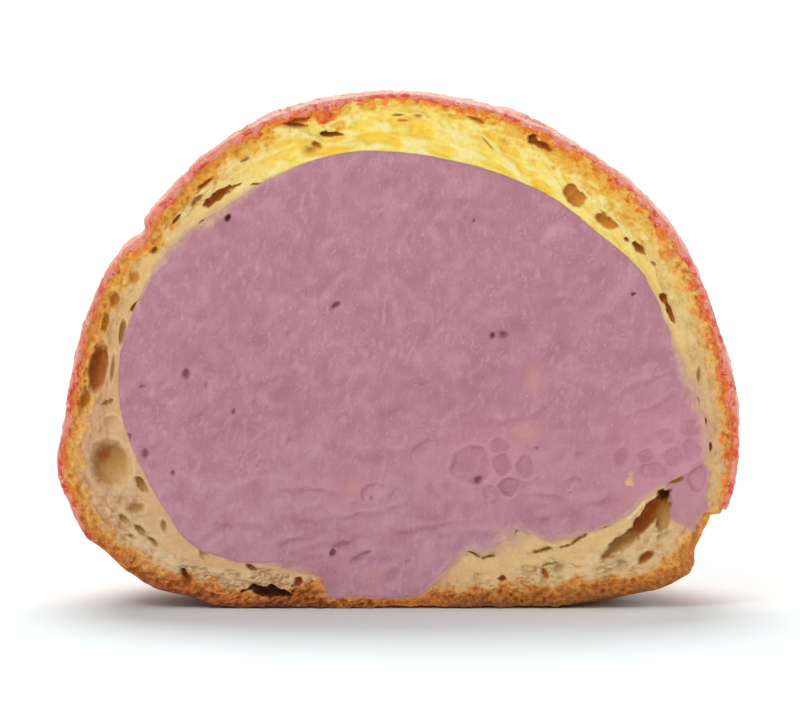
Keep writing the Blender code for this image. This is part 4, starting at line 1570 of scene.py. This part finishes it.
@dataclass
class CreamFilling:
    """The cream: a knife-smeared cut face over the plain filling of the cavity."""

    form: BunForm
    finish: CreamFinish = field(default_factory=CreamFinish)
    squares: int = 285
    side_rows: int = 5

    def build(self) -> bpy.types.Object:
        """Makes the cream's mesh and dresses it."""
        bm = bmesh.new()
        paint = Paint(bm, "hollow", "tint", "rosy", "peach", "film", "crumb", "toasted")
        hollows = OvalField(CREAM_HOLLOWS, 0.22)
        honeycomb = Honeycomb(HONEYCOMB)
        for vert in disc_mesh(bm, self.squares):
            angle, share = polar(vert.co)
            self._place_face(vert, paint, hollows, honeycomb, angle, share)
        self._add_back(bm)
        bmesh.ops.recalc_face_normals(bm, faces=bm.faces)
        return finished("cream", bm, self.finish.material())

    def _add_back(self, bm: bmesh.types.BMesh) -> None:
        """Runs the face's border back along the cavity and closes it."""
        rim = [edge for edge in bm.edges if edge.is_boundary]
        for edge in rim:
            edge.smooth = False
        for row in range(1, self.side_rows + 1):
            made = bmesh.ops.extrude_edge_only(bm, edges=rim)["geom"]
            rim = [e for e in made if isinstance(e, bmesh.types.BMEdge) and e.is_boundary]
            share = 1 - 0.94 * row / self.side_rows
            for vert in {v for edge in rim for v in edge.verts}:
                angle = math.degrees(math.atan2(vert.co.z - self.form.middle_height * MM, vert.co.x))
                vert.co = self.form.cavity_point(angle, share, 0.1)
        bmesh.ops.contextual_create(bm, geom=rim)

    def _place_face(
        self,
        vert: bmesh.types.BMVert,
        paint: Paint,
        hollows: OvalField,
        honeycomb: Honeycomb,
        angle: float,
        share: float,
    ) -> None:
        """Puts a vertex on the cut face, with knife strokes, bubbles and dents.

        Args:
            vert: The vertex.
            paint: The mesh's painted numbers.
            hollows: The opened bubbles and the dents.
            honeycomb: The thin-walled bubbles.
            angle: Its angle round the face.
            share: 0 in the middle, 1 at the edge.
        """
        form = self.form
        outline = form.cream_radius(angle) + 0.1
        radius = outline * share
        turn = math.radians(angle)
        x = radius * math.cos(turn)
        z = form.middle_height + radius * math.sin(turn)
        wx = x + 1.6 * grain(x, z, 4.0, 18.0)
        wz = z + 1.6 * grain(x, z, 4.0, 19.0)

        low = smooth_step(22.0, 10.0, z)
        broad = grain(x, z, 7.0, 20.0)
        strokes = blend(streak(wx, wz, 46.0, 2.4, 1.2, 21.0), streak(wx, wz, 12.0, 3.0, 1.1, 29.0), low)
        fine_strokes = streak(wx, wz, 52.0, 1.2, 0.45, 22.0)
        chosen = smooth_step(0.0, 0.35, grain(x, z, 2.4, 23.0))
        line = smooth_step(0.09, 0.0, abs(fine_strokes)) * chosen
        mottle = grain(wx, wz, 1.5, 24.0)
        upright = streak(x, z, 84.0, 1.3, 0.6, 25.0)
        blob = smooth_step(0.3, 0.5, upright) * smooth_step(0.0, 0.25, grain(x, z, 5.0, 26.0))

        dip = hollows.at(x, z)
        bubble = honeycomb.at(x, z)
        fold = sum(crease.height(x, z) for crease in CREAM_CREASES)
        raised = 0.12 * broad + (0.06 + 0.02 * low) * strokes + 0.08 * mottle + 0.04 * line
        raised += 0.05 * blob + 0.04 * upright + 0.1 * bubble.lip + 0.03 * grain(x, z, 0.45, 27.0)
        sunk = dip.depth + bubble.depth * 0.8 - raised - fold
        from_edge = outline - radius
        level = smooth_step(0.6, 0.25, from_edge)
        y = blend(max(-0.3, sunk + 0.08), 0.08 + dip.depth, level)
        rounding = 0.2 * smooth_step(0.3, 0.0, from_edge) * smooth_step(0.7, 0.3, CREAM_BLUR.at(angle))
        y = form.cut_y + (y + rounding) * MM
        vert.co = Vector((x * MM, y, z * MM))

        peach = math.exp(-(((x - 13.8) / 1.7) ** 2) - ((z - 19.6) / 1.2) ** 2)
        peach += 0.8 * math.exp(-(((x - 14.7) / 0.9) ** 2) - ((z - 25.2) / 2.0) ** 2)
        peach += 0.7 * math.exp(-(((x + 2.6) / 0.8) ** 2) - ((z - 3.4) / 1.4) ** 2)
        peach += 0.6 * math.exp(-(((x + 5.2) / 1.4) ** 2) - ((z - 13.2) / 2.0) ** 2)
        paint.set(
            vert,
            # Bubbles with brown and dark tones are painted darker: painted shade.
            hollow=dip.openness * smooth_step(0.5, 0.9, dip.tone),
            # The tint holds painted light and shade: lighter towards the bottom, lighter on each crease's
            # raised side and darker on its sunk side, and darker inside the foam's cells.
            tint=0.2 * mottle + 0.2 * strokes + 0.2 * low + 0.5 * fold - 0.2 * bubble.openness,
            # Cells are painted less rosy inside, which is painted shade.
            rosy=self._rosiness(x, z) * (1 - 0.55 * bubble.openness) * blend(0.6, 1.0, chosen),
            peach=min(0.8, peach),
            film=max(0.7 * line, 0.6 * blob, 0.6 * bubble.lip),
            crumb=self._crumb(x, z, angle, from_edge),
            toasted=smooth_step(238, 242, angle % 360) * smooth_step(256, 250, angle % 360),
        )

    @staticmethod
    def _rosiness(x: float, z: float) -> float:
        """1 where the cream is thin and pinker, over crumb or round its bubbles."""
        ring = math.exp(-(((x - 10.0) / 5.0) ** 2) - ((z - 16.2) / 3.8) ** 2)
        arm = smooth_step(20.0, 30.0, x) * smooth_step(25.0, 19.0, z)
        return min(1.0, max(ring, arm))

    @staticmethod
    def _crumb(x: float, z: float, angle: float, from_edge: float) -> float:
        """How far crumb shows through the cream's thin edge, 0 to 1."""
        wander = 0.5 * grain(x, z, 2.0, 16.0) + 0.3 * grain(x, z, 0.7, 17.0)
        blur = CREAM_BLUR.at(angle) * (1 - wander)
        bit = math.hypot((x - 25.3) / 0.4, (z - 14.0) / 1.0) + 1.2 * grain(x, z, 0.6, 54.0)
        return max(
            0.5 * smooth_step(blur, 0.0, from_edge) * (1 - cream_arm(x, z)),
            0.9 * smooth_step(1.1, 0.6, bit + wander * 0.4),
        )


# ------------------------------------------------------------------------- the studio


@dataclass
class Studio:
    """Pale floor, soft lights and a camera almost level with the cut face."""

    cut_y: float
    view_width: float = 88.0
    aim_height: float = 27.8
    elevation: float = 5.0
    lens: float = 500.0
    sensor: float = 36.0
    floor_size: float = 6000.0
    room_light: float = 0.27

    def build(self) -> None:
        """Makes the floor, the lights and the camera."""
        bm = bmesh.new()
        bmesh.ops.create_grid(bm, x_segments=1, y_segments=1, size=self.floor_size * MM / 2)
        finished("floor", bm, FloorFinish().material())
        self._room()
        self._soft_light("front", Vector((-0.3, -1.0, 0.16)), 1.2, 90.0)
        self._soft_light("key", Vector((-0.5, -0.6, 0.8)), 0.6, 30.0)
        self._soft_light("back", Vector((-0.1, 0.62, 0.8)), 2.4, 45.0)
        self._soft_light("right", Vector((0.9, 0.3, 0.4)), 1.15, 50.0)
        self._camera()

    def _room(self) -> None:
        """Surrounds everything with even light."""
        world = bpy.data.worlds.new("soft_room")
        world.use_nodes = True
        background = world.node_tree.nodes["Background"]
        background.inputs["Color"].default_value = (1.0, 1.0, 1.0, 1.0)
        background.inputs["Strength"].default_value = self.room_light
        bpy.context.scene.world = world
        bpy.context.scene.view_settings.view_transform = "Standard"

    def _soft_light(self, name: str, source: Vector, strength: float, breadth: float) -> None:
        """Adds a broad far light.

        Args:
            name: The light's name.
            source: Where it comes from.
            strength: Its strength.
            breadth: How wide it looks from the object, in degrees.
        """
        light = bpy.data.lights.new(name, "SUN")
        light.energy = strength
        light.angle = math.radians(breadth)
        obj = bpy.data.objects.new(name, light)
        obj.rotation_euler = source.to_track_quat("Z", "Y").to_euler()
        bpy.context.scene.collection.objects.link(obj)

    def _camera(self) -> None:
        """Sets the camera so that the view's width is right at the cut face."""
        camera = bpy.data.cameras.new("camera")
        camera.lens = self.lens
        camera.sensor_width = self.sensor
        camera.clip_end = 20.0
        distance = self.view_width * self.lens / self.sensor
        target = Vector((0, self.cut_y / MM, self.aim_height))
        tilt = math.radians(self.elevation)
        away = Vector((0, -math.cos(tilt), math.sin(tilt)))
        obj = bpy.data.objects.new("camera", camera)
        obj.location = (target + away * distance) * MM
        obj.rotation_euler = away.to_track_quat("Z", "Y").to_euler()
        bpy.context.scene.collection.objects.link(obj)
        bpy.context.scene.camera = obj


def main() -> None:
    """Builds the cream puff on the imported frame, then the studio round it."""
    logging.basicConfig(level=logging.INFO, format="%(name)s: %(message)s")
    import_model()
    crust_low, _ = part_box("craquelin_crust")
    form = BunForm(cut_y=crust_low.y)

    pieces = (
        (ChouxShell(form), "choux_shell", "choux"),
        (CraquelinCrust(form), "craquelin_crust", "craquelin"),
        (CreamFilling(form), "cream_filling", "cream"),
    )
    for maker, node, slot in pieces:
        piece = maker.build()
        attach(piece, "root")
        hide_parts(node)
        LOG.info("%s: %d faces", piece.name, len(piece.data.polygons))
    Studio(form.cut_y).build()


if __name__ == "__main__":
    main()
